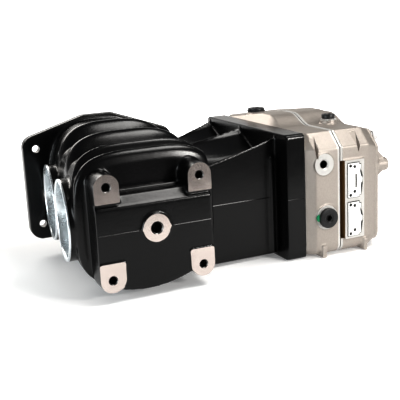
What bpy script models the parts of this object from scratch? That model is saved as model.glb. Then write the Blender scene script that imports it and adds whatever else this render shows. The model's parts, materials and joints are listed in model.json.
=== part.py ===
"""Electric twin-rotor supercharger, built piece by piece as it comes apart on a bench.

Model axes: +X runs along the rotor shafts from the air inlets to the motor, +Y runs across the unit from
the mounting pad to the outlet flange, +Z is up. While it is built, x = 0 is the inlet side of the drive
flange, y = 0 its pad side and z = 0 the surface that the unit stands on. The last step moves the whole
unit so that the origin lies under the middle of its box.
"""

import math

import bmesh
import bpy
from mathutils import Matrix, Vector

MM = 0.001

# ---------------------------------------------------------------- clearances
FIT = 0.3 * MM  # between pieces that seat on each other
RUN = 0.35 * MM  # taken off each rotor flank
END_RUN = 0.5 * MM  # between a rotor's end and the wall it faces

# ---------------------------------------------------------------- rotors and their chamber
SHAFT_SPACING = 72 * MM
LOBES = 3
LOBE_POINTS = 8
ROTOR_LENGTH = 211 * MM
ROTOR_TWIST = math.radians(60)
ROTOR_STEPS = 9
CHAMBER_EXTRA = 0.2 * MM  # bore radius over the theoretical lobe tip
CHAMBER_WALL = 4.4 * MM
CHAMBER_SIDES = 36

PITCH_RADIUS = SHAFT_SPACING / 2
ROLL_RADIUS = PITCH_RADIUS / (2 * LOBES)
TIP_RADIUS = PITCH_RADIUS + 2 * ROLL_RADIUS
CHAMBER_RADIUS = TIP_RADIUS + CHAMBER_EXTRA

# ---------------------------------------------------------------- drive flange and bearing plate
FLANGE_THICK = 26 * MM
FLANGE_CORNER = 7 * MM
FLANGE_BORDER = 24.1 * MM  # past the bearing plate at both sides and below
FLANGE_TOP_BORDER = 25.1 * MM
PLATE_THICK = 20 * MM
PLATE_MARGIN = 9.7 * MM  # plate past the chamber bores, each way
PLATE_CORNER = 30 * MM
PLATE_LEFT = FLANGE_THICK - PLATE_THICK
PLATE_HALF_Y = SHAFT_SPACING / 2 + CHAMBER_RADIUS + PLATE_MARGIN
PLATE_HALF_Z = CHAMBER_RADIUS + PLATE_MARGIN

FLANGE_WIDTH = 2 * (PLATE_HALF_Y + FLANGE_BORDER)
SHAFT_HEIGHT = PLATE_HALF_Z + FLANGE_BORDER
FLANGE_HEIGHT = SHAFT_HEIGHT + PLATE_HALF_Z + FLANGE_TOP_BORDER
MIDDLE_Y = FLANGE_WIDTH / 2
DRIVE_Y = MIDDLE_Y - SHAFT_SPACING / 2
DRIVEN_Y = MIDDLE_Y + SHAFT_SPACING / 2
SHAFT_PLACES = {"drive": DRIVE_Y, "driven": DRIVEN_Y}
BLOCK_NEAR = DRIVE_Y - CHAMBER_RADIUS - CHAMBER_WALL
BLOCK_FAR = DRIVEN_Y + CHAMBER_RADIUS + CHAMBER_WALL

ROTOR_RIGHT = PLATE_LEFT - END_RUN
ROTOR_LEFT = ROTOR_RIGHT - ROTOR_LENGTH
CHAMBER_LEFT = ROTOR_LEFT - END_RUN

# ---------------------------------------------------------------- shafts, bearings, seals
SHAFT_RADIUS = 10 * MM
TAIL_RADIUS = 7.5 * MM
MOTOR_SHAFT_RADIUS = 9 * MM
NOSE_RADIUS = 8 * MM
TAIL_BEARING_RADIUS = 12 * MM
TAIL_BEARING_LENGTH = 16 * MM
TAIL_HUB_WALL = 6 * MM
TAIL_HUB_REACH = 12 * MM
BEARING_RADIUS = 20 * MM
BEARING_WIDTH = 12 * MM
BEARING_RACE = 3.5 * MM
SEAL_RADIUS = 16 * MM
SEAL_WIDTH = 5 * MM
SEAL_LIP = 0.2 * MM

# ---------------------------------------------------------------- timing gears
GEAR_TEETH = 30
GEAR_WIDTH = 14 * MM
GEAR_LEFT = FLANGE_THICK + 4 * MM
GEAR_BACKLASH = 0.45 * MM
PRESSURE_ANGLE = math.radians(20)
NUT_THICK = 6 * MM
NUT_FLATS = 30 * MM

# ---------------------------------------------------------------- air inlets
INLET_WALL = 14 * MM
INLET_FACE_X = CHAMBER_LEFT - 65.5 * MM  # middle of the inlet face, on the line between the two mouths
INLET_TILT = math.radians(5.5)
INLET_MIDDLE_Y = MIDDLE_Y - 6 * MM
INLET_HEIGHT = SHAFT_HEIGHT + 3 * MM
THROAT_RADIUS = 45 * MM
SLEEVE_WALL = 3.6 * MM
SLEEVE_DEPTH = 14 * MM
SLEEVE_LIP = 2.2 * MM
TUBE_RADIUS = THROAT_RADIUS + SLEEVE_WALL + 1.9 * MM
INLET_SPACING = 2 * (TUBE_RADIUS + FIT)
INLET_PORT_RADIUS = 44 * MM
INLET_WEB_ANGLE = math.radians(58)

# ---------------------------------------------------------------- ribbed plenum drum
PLENUM_FLOOR = SHAFT_HEIGHT + CHAMBER_RADIUS + 6.8 * MM
DRUM_X = CHAMBER_LEFT + 19 * MM
DRUM_HALF_WIDTH = 87 * MM
DRUM_HEIGHT = SHAFT_HEIGHT + 10 * MM  # of its widest line
DRUM_NEAR = 8 * MM
DRUM_BACK = 8 * MM  # of its side behind the inlet face
DRUM_TOP = PLENUM_FLOOR + 45 * MM
DRUM_TOP_DROP = 22 * MM
DRUM_BELLY_RISE = 7 * MM
DRUM_SIDES = 36
DRUM_WALL = 6 * MM
RIB_PLACES = (16 * MM, 42 * MM, 92 * MM, 150 * MM)
RIB_WIDTHS = (14 * MM, 14 * MM, 24 * MM, 26 * MM)
RIB_HEIGHT = 9 * MM
RIB_LEFT_SHARE = 0.35  # of the height, where the ribs come down behind the inlets

# ---------------------------------------------------------------- outlet flange
OUTLET_FACE_Y = FLANGE_WIDTH - 9 * MM
OUTLET_THICK = 12.5 * MM
OUTLET_X = DRUM_X + 9 * MM
OUTLET_HALF_WIDTH = 109 * MM
OUTLET_BOTTOM = 22 * MM
OUTLET_LEFT_SHOULDER = DRUM_TOP - 14 * MM
OUTLET_RIGHT_SHOULDER = DRUM_TOP - 19 * MM
OUTLET_TOP = DRUM_TOP + 7 * MM
OUTLET_CORNER = 18 * MM
OUTLET_CROWN_SHARE = 0.2  # of the half width, where the crown is level
OUTLET_HOLE_SPREAD = 182 * MM
OUTLET_HOLE_LOW = 44 * MM
OUTLET_HOLE_HIGH = DRUM_TOP - 32.5 * MM
OUTLET_HOLE_RADIUS = 5.2 * MM
WINDOW_HALF_WIDTH = 62 * MM
WINDOW_BOTTOM = SHAFT_HEIGHT - 24 * MM
WINDOW_TOP = DRUM_TOP - 17 * MM
WINDOW_CORNER = 22 * MM

# ---------------------------------------------------------------- mounting pad
PAD_FACE_Y = -24 * MM
PAD_X = DRUM_X - 1.5 * MM
PAD_DEPTH = 40 * MM
PAD_RECESS = 0.8 * MM  # painted face behind the machined ears
EAR_SPREAD = 113.7 * MM
EAR_LOW = SHAFT_HEIGHT - 54.3 * MM
EAR_HIGH = SHAFT_HEIGHT + 55 * MM
EAR_WIDTH = 30 * MM
EAR_LENGTH = 19 * MM  # from the hole to the square end
HIGH_EAR_DEPTH = 64 * MM
LOW_EAR_DEPTH = 30 * MM
EAR_HOLE_RADIUS = 4.7 * MM
EAR_HOLE_DEPTH = 22 * MM
PAD_TOP = SHAFT_HEIGHT + 42 * MM
BELLY_BOTTOM = 10 * MM
BOSS_RADIUS = 16.5 * MM
BOSS_PROUD = 1.5 * MM
BOSS_HOLE_RADIUS = 6.5 * MM

# ---------------------------------------------------------------- neck between drum and drive flange
NECK_LEFT = DRUM_X + 62 * MM
NECK_EDGE = SHAFT_HEIGHT + CHAMBER_RADIUS - 2.2 * MM
NECK_CROWN = PLENUM_FLOOR + 8 * MM
NECK_RIDGE = FLANGE_HEIGHT - 4 * MM
NECK_VALLEY = FLANGE_HEIGHT - 24 * MM
NECK_FLARE = 22 * MM
BLOCK_BOTTOM = 4 * MM

# ---------------------------------------------------------------- gear case and motor cover
CASE_NEAR = -10 * MM
CASE_FLARE = 10 * MM
CASE_BOTTOM = 2.5 * MM
CASE_CHAMFER_Z = FLANGE_HEIGHT - 22 * MM
CASE_CHAMFER_Y = 20 * MM
CASE_LOW_TOP = FLANGE_HEIGHT - 2 * MM
CASE_HIGH_TOP = FLANGE_HEIGHT + 12 * MM
CASE_STEP_NEAR = MIDDLE_Y - 52 * MM
CASE_STEP_FAR = MIDDLE_Y - 10 * MM
CASE_CREST_FAR = MIDDLE_Y + 12 * MM  # where the raised top starts to fall to the far side
CASE_FAR_TOP = FLANGE_HEIGHT
CASE_FAR_CHAMFER = 15 * MM
CASE_LENGTH = 46 * MM
CASE_WALL = 10 * MM
CASE_LEFT = FLANGE_THICK + FIT
CASE_RIGHT = CASE_LEFT + CASE_LENGTH
GASKET_THICK = 0.8 * MM
GASKET_INSET = 1.3 * MM
COVER_LEFT = CASE_RIGHT + GASKET_THICK + 2 * FIT
COVER_LENGTH = 58 * MM
COVER_RIGHT = COVER_LEFT + COVER_LENGTH
COVER_TAPER = 5 * MM
LID_THICK = 6 * MM
LID_LEFT = COVER_RIGHT + FIT
LID_RIGHT = LID_LEFT + LID_THICK
LID_LUG_RADIUS = 9 * MM
LID_LUG_REACH = 16 * MM
LID_LUGS = ((4.4 * MM, FLANGE_HEIGHT - 55 * MM), (FLANGE_WIDTH - 56 * MM, FLANGE_HEIGHT - 53 * MM))
GEAR_ROOM_MARGIN = 4 * MM
FOOT_WIDTH = 6 * MM
FOOT_LENGTH = 34 * MM
FOOT_OUT = 3 * MM  # past the casting's sides
CASE_FOOT_X = 47 * MM
COVER_FOOT_X = 111 * MM

# ---------------------------------------------------------------- motor
STATOR_RADIUS = 70 * MM
STATOR_TEETH = 12
STATOR_BORE = 44 * MM
STATOR_SLOT = STATOR_RADIUS - 8 * MM
STATOR_LENGTH = 32 * MM
STATOR_LEFT = COVER_LEFT + 7 * MM
AIR_GAP = 0.7 * MM
WINDING_REACH = 5 * MM
MOTOR_ROOM_RADIUS = STATOR_RADIUS + FIT
BOARD_THICK = 2 * MM
BOARD_MARGIN = 3 * MM
BOARD_UP = STATOR_RADIUS - 23 * MM  # above the drive shaft
BOARD_DOWN = STATOR_RADIUS - 27 * MM
BOARD_POST_RADIUS = 4 * MM
BOARD_POST_INSET = 11 * MM
BOARD_LEFT = STATOR_LEFT + STATOR_LENGTH + WINDING_REACH + 3 * MM
ELECTRONICS_NEAR = DRIVE_Y + 0.7 * STATOR_RADIUS
ELECTRONICS_FAR = FLANGE_WIDTH - 23 * MM
ELECTRONICS_LOW = 24 * MM
ELECTRONICS_HIGH = CASE_CHAMFER_Z
BOARD_POSTS = [
    (y, z)
    for y in (ELECTRONICS_NEAR + 9 * MM, ELECTRONICS_FAR - 13 * MM)
    for z in (SHAFT_HEIGHT - BOARD_DOWN + BOARD_POST_INSET, SHAFT_HEIGHT + BOARD_UP - BOARD_POST_INSET)
]
LID_HUB_RADIUS = 21 * MM
NOSE_BEARING_RADIUS = 16 * MM
NOSE_BEARING_WIDTH = 10 * MM

# ---------------------------------------------------------------- fasteners and plugs
CASE_BOLT_RADIUS = 4 * MM
CASE_BOLT_HEAD_RADIUS = 6.5 * MM
CASE_BOLT_HEAD = 8 * MM
CASE_BOLT_GRIP = 14 * MM
CASE_BOLTS = (
    (14 * MM, 20 * MM),
    (14 * MM, FLANGE_HEIGHT - 16 * MM),
    (MIDDLE_Y + 6 * MM, FLANGE_HEIGHT - 11 * MM),
    (FLANGE_WIDTH - 14 * MM, FLANGE_HEIGHT - 16 * MM),
    (FLANGE_WIDTH - 10 * MM, SHAFT_HEIGHT),
    (FLANGE_WIDTH - 14 * MM, 20 * MM),
    (MIDDLE_Y + 6 * MM, 17 * MM),
)
PLATE_SCREW_RADIUS = 2.7 * MM
PLATE_SCREW_HEAD_RADIUS = 5 * MM
PLATE_SCREW_HEAD = 6 * MM
PLATE_SCREW_GRIP = 10 * MM
PLATE_SCREW_INSET = 16 * MM
DOWEL_RADIUS = 4 * MM
DOWEL_LENGTH = 20 * MM
DOWELS = ((11 * MM, 60 * MM), (FLANGE_WIDTH - 12 * MM, SHAFT_HEIGHT + 38 * MM))
PORT_X = 48 * MM
PORT_Z = FLANGE_HEIGHT - 41 * MM
PORT_RADIUS = 5.3 * MM
PORT_SEAT_RADIUS = 12.5 * MM
PLUG_X = 51 * MM
PLUG_Z = 54 * MM
PLUG_RADIUS = 9 * MM
PLUG_COLLAR_RADIUS = 12 * MM
PLUG_COLLAR = 4.5 * MM
PLUG_THREAD = 13 * MM
PLUG_SEAT_RADIUS = 14.5 * MM
PLUG_SOCKET_RADIUS = 5 * MM
WASHER_THICK = 1.2 * MM
SEAT_PROUD = 1.5 * MM
BREATHER_SEAT = 5.5 * MM
BREATHER_X = 103 * MM
BREATHER_Y = MIDDLE_Y - 55 * MM
BREATHER_RADIUS = 6 * MM
BREATHER_COLLAR_RADIUS = 9 * MM
CAP_X = 46 * MM
CAP_Y = MIDDLE_Y + 47 * MM
CAP_BOSS_RADIUS = 12.5 * MM
CAP_BOSS_HEIGHT = 2.7 * MM
CAP_RADIUS = 12 * MM

# ---------------------------------------------------------------- connector pad
CONNECTOR_LEFT = COVER_LEFT + 4.5 * MM
CONNECTOR_RIGHT = 108 * MM
CONNECTOR_LOW = 20 * MM
CONNECTOR_HIGH = 125 * MM
CONNECTOR_PROUD = 3 * MM
SLOT_DEPTH = 12 * MM
SLOT_MARGIN = 1 * MM
CONNECTOR_PLATE_THICK = 1.6 * MM
CONNECTOR_PLATE_GAP = 7 * MM

ROUND = 24
FINE = 24
SMALL = 12


# ================================================================ materials
def material(name, colour, metallic, roughness):
    made = bpy.data.materials.new(name)
    made.use_nodes = True
    made.diffuse_color = (*colour, 1)
    shader = made.node_tree.nodes["Principled BSDF"]
    shader.inputs["Base Color"].default_value = (*colour, 1)
    shader.inputs["Metallic"].default_value = metallic
    shader.inputs["Roughness"].default_value = roughness
    return made


# ================================================================ solids
def along(axis, u, v, w):
    """The point at w along the axis, with u and v on the other two axes in X, Y, Z order."""
    if axis == "X":
        return Vector((w, u, v))
    if axis == "Y":
        return Vector((u, w, v))
    return Vector((u, v, w))


def finish_mesh(name, shape, smooth_angle):
    bmesh.ops.remove_doubles(shape, verts=shape.verts, dist=1e-7)
    bmesh.ops.recalc_face_normals(shape, faces=shape.faces)
    mesh = bpy.data.meshes.new(name)
    shape.to_mesh(mesh)
    shape.free()
    made = bpy.data.objects.new(name, mesh)
    bpy.context.scene.collection.objects.link(made)
    if smooth_angle:
        mesh.shade_smooth()
        mesh.set_sharp_from_angle(angle=math.radians(smooth_angle))
    return made


def loft(name, rings, smooth_angle=0):
    """A solid through rings that have the same number of points, closed by its two end rings."""
    shape = bmesh.new()
    rows = [[shape.verts.new(point) for point in ring] for ring in rings]
    count = len(rows[0])
    for low, high in zip(rows, rows[1:]):
        for i in range(count):
            j = (i + 1) % count
            shape.faces.new((low[i], low[j], high[j], high[i]))
    shape.faces.new(rows[0][::-1])
    shape.faces.new(rows[-1])
    return finish_mesh(name, shape, smooth_angle)


def extrude(name, outline, axis, start, end, smooth_angle=0):
    rings = [[along(axis, u, v, w) for u, v in outline] for w in (start, end)]
    return loft(name, rings, smooth_angle)


def arc(centre_u, centre_v, radius, start, end, steps):
    for i in range(steps + 1):
        angle = start + (end - start) * i / steps
        yield centre_u + radius * math.cos(angle), centre_v + radius * math.sin(angle)


def circle(centre_u, centre_v, radius, sides):
    return list(arc(centre_u, centre_v, radius, 0, math.tau, sides))[:-1]


def rounded_box(u0, u1, v0, v1, radius, steps=5):
    quarter = math.pi / 2
    points = []
    corners = ((u1, v1, -1, -1), (u0, v1, 1, -1), (u0, v0, 1, 1), (u1, v0, -1, 1))
    for turn, (u, v, du, dv) in enumerate(corners):
        points += arc(u + du * radius, v + dv * radius, radius, turn * quarter, (turn + 1) * quarter, steps)
    return points


def cylinder(name, axis, u, v, radius, start, end, sides=ROUND, smooth_angle=40):
    return extrude(name, circle(u, v, radius, sides), axis, start, end, smooth_angle)


def box(name, x0, x1, y0, y1, z0, z1):
    return extrude(name, [(x0, y0), (x1, y0), (x1, y1), (x0, y1)], "Z", z0, z1)


def turned(name, stations, sides=ROUND):
    """A solid turned about the X axis through (x, radius) stations."""
    rings = [[along("X", y, z, x) for y, z in circle(0, 0, radius, sides)] for x, radius in stations]
    return loft(name, rings, 35)


def turned_ring(name, section, sides=ROUND):
    """A ring turned about the X axis from a closed (x, radius) section."""
    shape = bmesh.new()
    rows = []
    for i in range(sides):
        angle = math.tau * i / sides
        turn = Matrix.Rotation(angle, 3, "X")
        rows.append([shape.verts.new(turn @ Vector((x, radius, 0))) for x, radius in section])
    count = len(section)
    for i in range(sides):
        here = rows[i]
        there = rows[(i + 1) % sides]
        for k in range(count):
            m = (k + 1) % count
            shape.faces.new((here[k], here[m], there[m], there[k]))
    return finish_mesh(name, shape, 35)


def plain_ring(name, left, right, inner, outer, sides=ROUND):
    return turned_ring(name, [(left, inner), (right, inner), (right, outer), (left, outer)], sides)


def combine(target, tools, operation):
    """Join, cut or intersect the target with each tool in turn; the tools are used up."""
    for tool in tools:
        step = target.modifiers.new(operation, "BOOLEAN")
        step.operation = operation
        step.object = tool
    bpy.context.view_layer.update()
    graph = bpy.context.evaluated_depsgraph_get()
    result = bpy.data.meshes.new_from_object(target.evaluated_get(graph))
    target.modifiers.clear()
    target.data = result
    for tool in tools:
        bpy.data.objects.remove(tool)
    return target


def join(target, *tools):
    return combine(target, tools, "UNION")


def cut(target, *tools):
    return combine(target, tools, "DIFFERENCE")


def place(piece, finish, parent):
    piece.data.materials.clear()
    piece.data.materials.append(finish)
    piece.parent = parent
    return piece


# ================================================================ rotor housing
def drum_share(y):
    """0 at the drum's pad end, 1 at the outlet flange."""
    return min(max((y - DRUM_NEAR) / (OUTLET_FACE_Y - OUTLET_THICK - DRUM_NEAR), 0), 1)


def rib_at(y):
    """How far the ribs stand out at y, over the crown of the drum."""
    height = 0
    for place_y, width in zip(RIB_PLACES, RIB_WIDTHS):
        offset = abs(y - place_y) / (width / 2)
        if offset < 1:
            height = max(height, RIB_HEIGHT * math.cos(offset * math.pi / 2) ** 0.7)
    return height


def inlet_face(y):
    """Where the tilted inlet face stands at y."""
    return INLET_FACE_X + (y - INLET_MIDDLE_Y) * math.tan(INLET_TILT)


def drum_ring(y, grow, ribs):
    """The drum's section at y: a rounded square near the pad that grows rounder and taller to the outlet."""
    share = drum_share(y)
    power = 2 / (3.6 - 1.0 * share)
    above = DRUM_TOP - DRUM_TOP_DROP * (1 - share) ** 1.8 - DRUM_HEIGHT
    below = DRUM_HEIGHT - DRUM_BELLY_RISE * (1 - share) ** 5
    left_width = min(DRUM_HALF_WIDTH, DRUM_X - inlet_face(y) - DRUM_BACK)
    points = []
    for i in range(DRUM_SIDES):
        angle = math.tau * i / DRUM_SIDES
        c = math.cos(angle)
        s = math.sin(angle)
        fade = min(max((s - 0.25) / 0.45, 0), 1)
        rib = rib_at(y) * fade if ribs else 0
        high = above + grow + rib if s > 0 else below + grow
        wide = DRUM_HALF_WIDTH + rib if c > 0 else left_width + rib * RIB_LEFT_SHARE
        x = DRUM_X + math.copysign(abs(c) ** power, c) * (wide + grow)
        z = DRUM_HEIGHT + math.copysign(abs(s) ** power, s) * high
        points.append(Vector((x, y, z)))
    return points


def drum_outside():
    stations = [DRUM_NEAR, DRUM_NEAR + 3 * MM]
    for place_y, width in zip(RIB_PLACES, RIB_WIDTHS):
        stations += [place_y + width * part for part in (-0.5, -0.25, 0.25, 0.5)]
    stations += [OUTLET_FACE_Y - OUTLET_THICK - 25 * MM, OUTLET_FACE_Y - OUTLET_THICK / 2]
    stations = sorted(set(stations))
    rings = [drum_ring(stations[0], -4 * MM, False)]
    rings += [drum_ring(y, 0, True) for y in stations[1:]]
    return loft("drum", rings, 50)


def plenum_cutter():
    """The passage over the rotor chamber, from behind the pad out through the outlet flange."""
    ends = (DRUM_NEAR + 20 * MM, MIDDLE_Y, OUTLET_FACE_Y + 5 * MM)
    passage = loft("passage", [drum_ring(y, -DRUM_WALL, False) for y in ends])
    above = box(
        "above",
        DRUM_X - 2 * DRUM_HALF_WIDTH,
        DRUM_X + 2 * DRUM_HALF_WIDTH,
        ends[0] - 5 * MM,
        OUTLET_FACE_Y + 3 * MM,
        PLENUM_FLOOR,
        DRUM_TOP + 20 * MM,
    )
    return combine(passage, [above], "INTERSECT")


def outlet_outline():
    """The outlet flange: straight sides, four rounded corners and a raised crown."""
    left = OUTLET_X - OUTLET_HALF_WIDTH
    right = OUTLET_X + OUTLET_HALF_WIDTH
    r = OUTLET_CORNER
    crown = OUTLET_HALF_WIDTH * OUTLET_CROWN_SHARE
    low = OUTLET_BOTTOM + r
    points = list(arc(left + r, low, r, math.pi, 1.5 * math.pi, 5))
    points += arc(right - r, low, r, 1.5 * math.pi, 2 * math.pi, 5)
    points += arc(right - r, OUTLET_RIGHT_SHOULDER - r, r, 0, math.radians(70), 4)
    points.append((OUTLET_X + crown, OUTLET_TOP))
    points.append((OUTLET_X - crown, OUTLET_TOP))
    points += arc(left + r, OUTLET_LEFT_SHOULDER - r, r, math.radians(110), math.pi, 4)
    return points


def neck_height(share, across):
    """Top of the neck: share runs 0 to 1 from drum to flange, across 0 to 1 from near to far side."""
    base = NECK_EDGE + (NECK_CROWN - NECK_EDGE) * math.sin(math.pi * across) ** 0.6
    ridges = abs(math.cos(math.tau * across))
    crest = NECK_VALLEY + (NECK_RIDGE - NECK_VALLEY) * ridges
    return base + (crest - base) * share**1.3


def neck():
    """Three gussets that rise from the drum's shoulder to the top of the drive flange."""
    shape = bmesh.new()
    steps_x = 6
    steps_y = 12
    floor = SHAFT_HEIGHT
    top = []
    bottom = []
    for i in range(steps_x + 1):
        share = i / steps_x
        x = NECK_LEFT + (3 * MM - NECK_LEFT) * share
        row_top = []
        row_bottom = []
        for j in range(steps_y + 1):
            across = j / steps_y
            far = BLOCK_FAR + NECK_FLARE * share**2
            y = BLOCK_NEAR + (far - BLOCK_NEAR) * across
            row_top.append(shape.verts.new((x, y, neck_height(share, across))))
            row_bottom.append(shape.verts.new((x, y, floor)))
        top.append(row_top)
        bottom.append(row_bottom)
    for grid in (top, bottom):
        for i in range(steps_x):
            for j in range(steps_y):
                shape.faces.new((grid[i][j], grid[i + 1][j], grid[i + 1][j + 1], grid[i][j + 1]))
    for j in range(steps_y):
        for i in (0, steps_x):
            shape.faces.new((top[i][j], top[i][j + 1], bottom[i][j + 1], bottom[i][j]))
    for i in range(steps_x):
        for j in (0, steps_y):
            shape.faces.new((top[i][j], top[i + 1][j], bottom[i + 1][j], bottom[i][j]))
    return finish_mesh("neck", shape, 0)


def ear(name, x, z, up, depth):
    """One mounting ear: a bar with a round end that runs back into the drum."""
    half = EAR_WIDTH / 2
    turn = 0 if up > 0 else math.pi
    outline = list(arc(x, z, half, turn, turn + math.pi, 8))
    outline += [(x - up * half, z - up * EAR_LENGTH), (x + up * half, z - up * EAR_LENGTH)]
    return extrude(name, outline, "Y", PAD_FACE_Y, PAD_FACE_Y + depth)


def pad_pieces():
    back = PAD_FACE_Y + PAD_DEPTH
    front = PAD_FACE_Y + PAD_RECESS
    half = EAR_SPREAD / 2 + EAR_WIDTH / 2
    low = EAR_LOW + EAR_LENGTH
    face = extrude("pad_face", [
        (PAD_X - half + FIT, low - 4 * MM), (PAD_X + half - FIT, low - 4 * MM),
        (PAD_X + half - FIT, PAD_TOP), (PAD_X - half + FIT, PAD_TOP),
    ], "Y", front, back)
    belly_top = PAD_TOP - 20 * MM
    belly = []
    for k in range(17):
        angle = math.pi + math.pi * k / 16
        drop = abs(math.sin(angle)) ** 0.8 * (belly_top - BELLY_BOTTOM)
        belly.append((PAD_X - 7 * MM + (half - 14 * MM) * math.cos(angle), belly_top - drop))
    pieces = [face, extrude("pad_belly", belly, "Y", front + FIT, back)]
    for side in (-1, 1):
        x = PAD_X + side * EAR_SPREAD / 2
        pieces.append(ear("ear", x, EAR_HIGH, 1, HIGH_EAR_DEPTH))
        pieces.append(ear("ear", x, EAR_LOW, -1, LOW_EAR_DEPTH))
    boss_face = PAD_FACE_Y - BOSS_PROUD
    pieces.append(cylinder("pad_boss", "Y", PAD_X, SHAFT_HEIGHT, BOSS_RADIUS, boss_face, 0))
    return pieces


def pad_holes():
    holes = []
    for side in (-1, 1):
        for z in (EAR_HIGH, EAR_LOW):
            x = PAD_X + side * EAR_SPREAD / 2
            end = PAD_FACE_Y + EAR_HOLE_DEPTH
            holes.append(cylinder("ear_hole", "Y", x, z, EAR_HOLE_RADIUS, PAD_FACE_Y - 5 * MM, end, SMALL))
    end = PAD_FACE_Y + EAR_HOLE_DEPTH
    start = PAD_FACE_Y - BOSS_PROUD - 5 * MM
    holes.append(cylinder("boss_hole", "Y", PAD_X, SHAFT_HEIGHT, BOSS_HOLE_RADIUS, start, end, SMALL))
    return holes


def inlet_centre(side):
    """Middle of a mouth on the tilted inlet face; side is -1 for the pad's side and 1 for the outlet's."""
    reach = side * INLET_SPACING / 2
    x = INLET_FACE_X + reach * math.sin(INLET_TILT)
    y = INLET_MIDDLE_Y + reach * math.cos(INLET_TILT)
    return Vector((x, y, INLET_HEIGHT))


def tilt_to_inlet(piece, side):
    """Turn a piece made about the X axis so that it faces out of its mouth."""
    piece.matrix_world = Matrix.Translation(inlet_centre(side)) @ Matrix.Rotation(-INLET_TILT, 4, "Z")
    return piece


def inlet_tube(side):
    """The outside of one inlet, from the chamber wall to the tilted inlet face."""
    centre = inlet_centre(side)
    rings = [[], []]
    for y, z in circle(centre.y, centre.z, TUBE_RADIUS, FINE):
        rings[0].append(Vector((inlet_face(y), y, z)))
        rings[1].append(Vector((CHAMBER_LEFT + 4 * MM, y, z)))
    return loft("inlet_tube", rings)


def inlet_port(y, side):
    """The opening in the chamber's end wall, round the outer side of a tail hub."""
    hub = TAIL_BEARING_RADIUS + TAIL_HUB_WALL + 1 * MM
    outward = math.pi if side < 0 else 0
    half = math.pi - INLET_WEB_ANGLE
    outline = list(arc(y, SHAFT_HEIGHT, INLET_PORT_RADIUS, outward - half, outward + half, 18))
    outline += arc(y, SHAFT_HEIGHT, hub, outward + half, outward - half, 12)
    return extrude("inlet_port", outline, "X", CHAMBER_LEFT - INLET_WALL - 2 * MM, CHAMBER_LEFT + 2 * MM)


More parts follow.
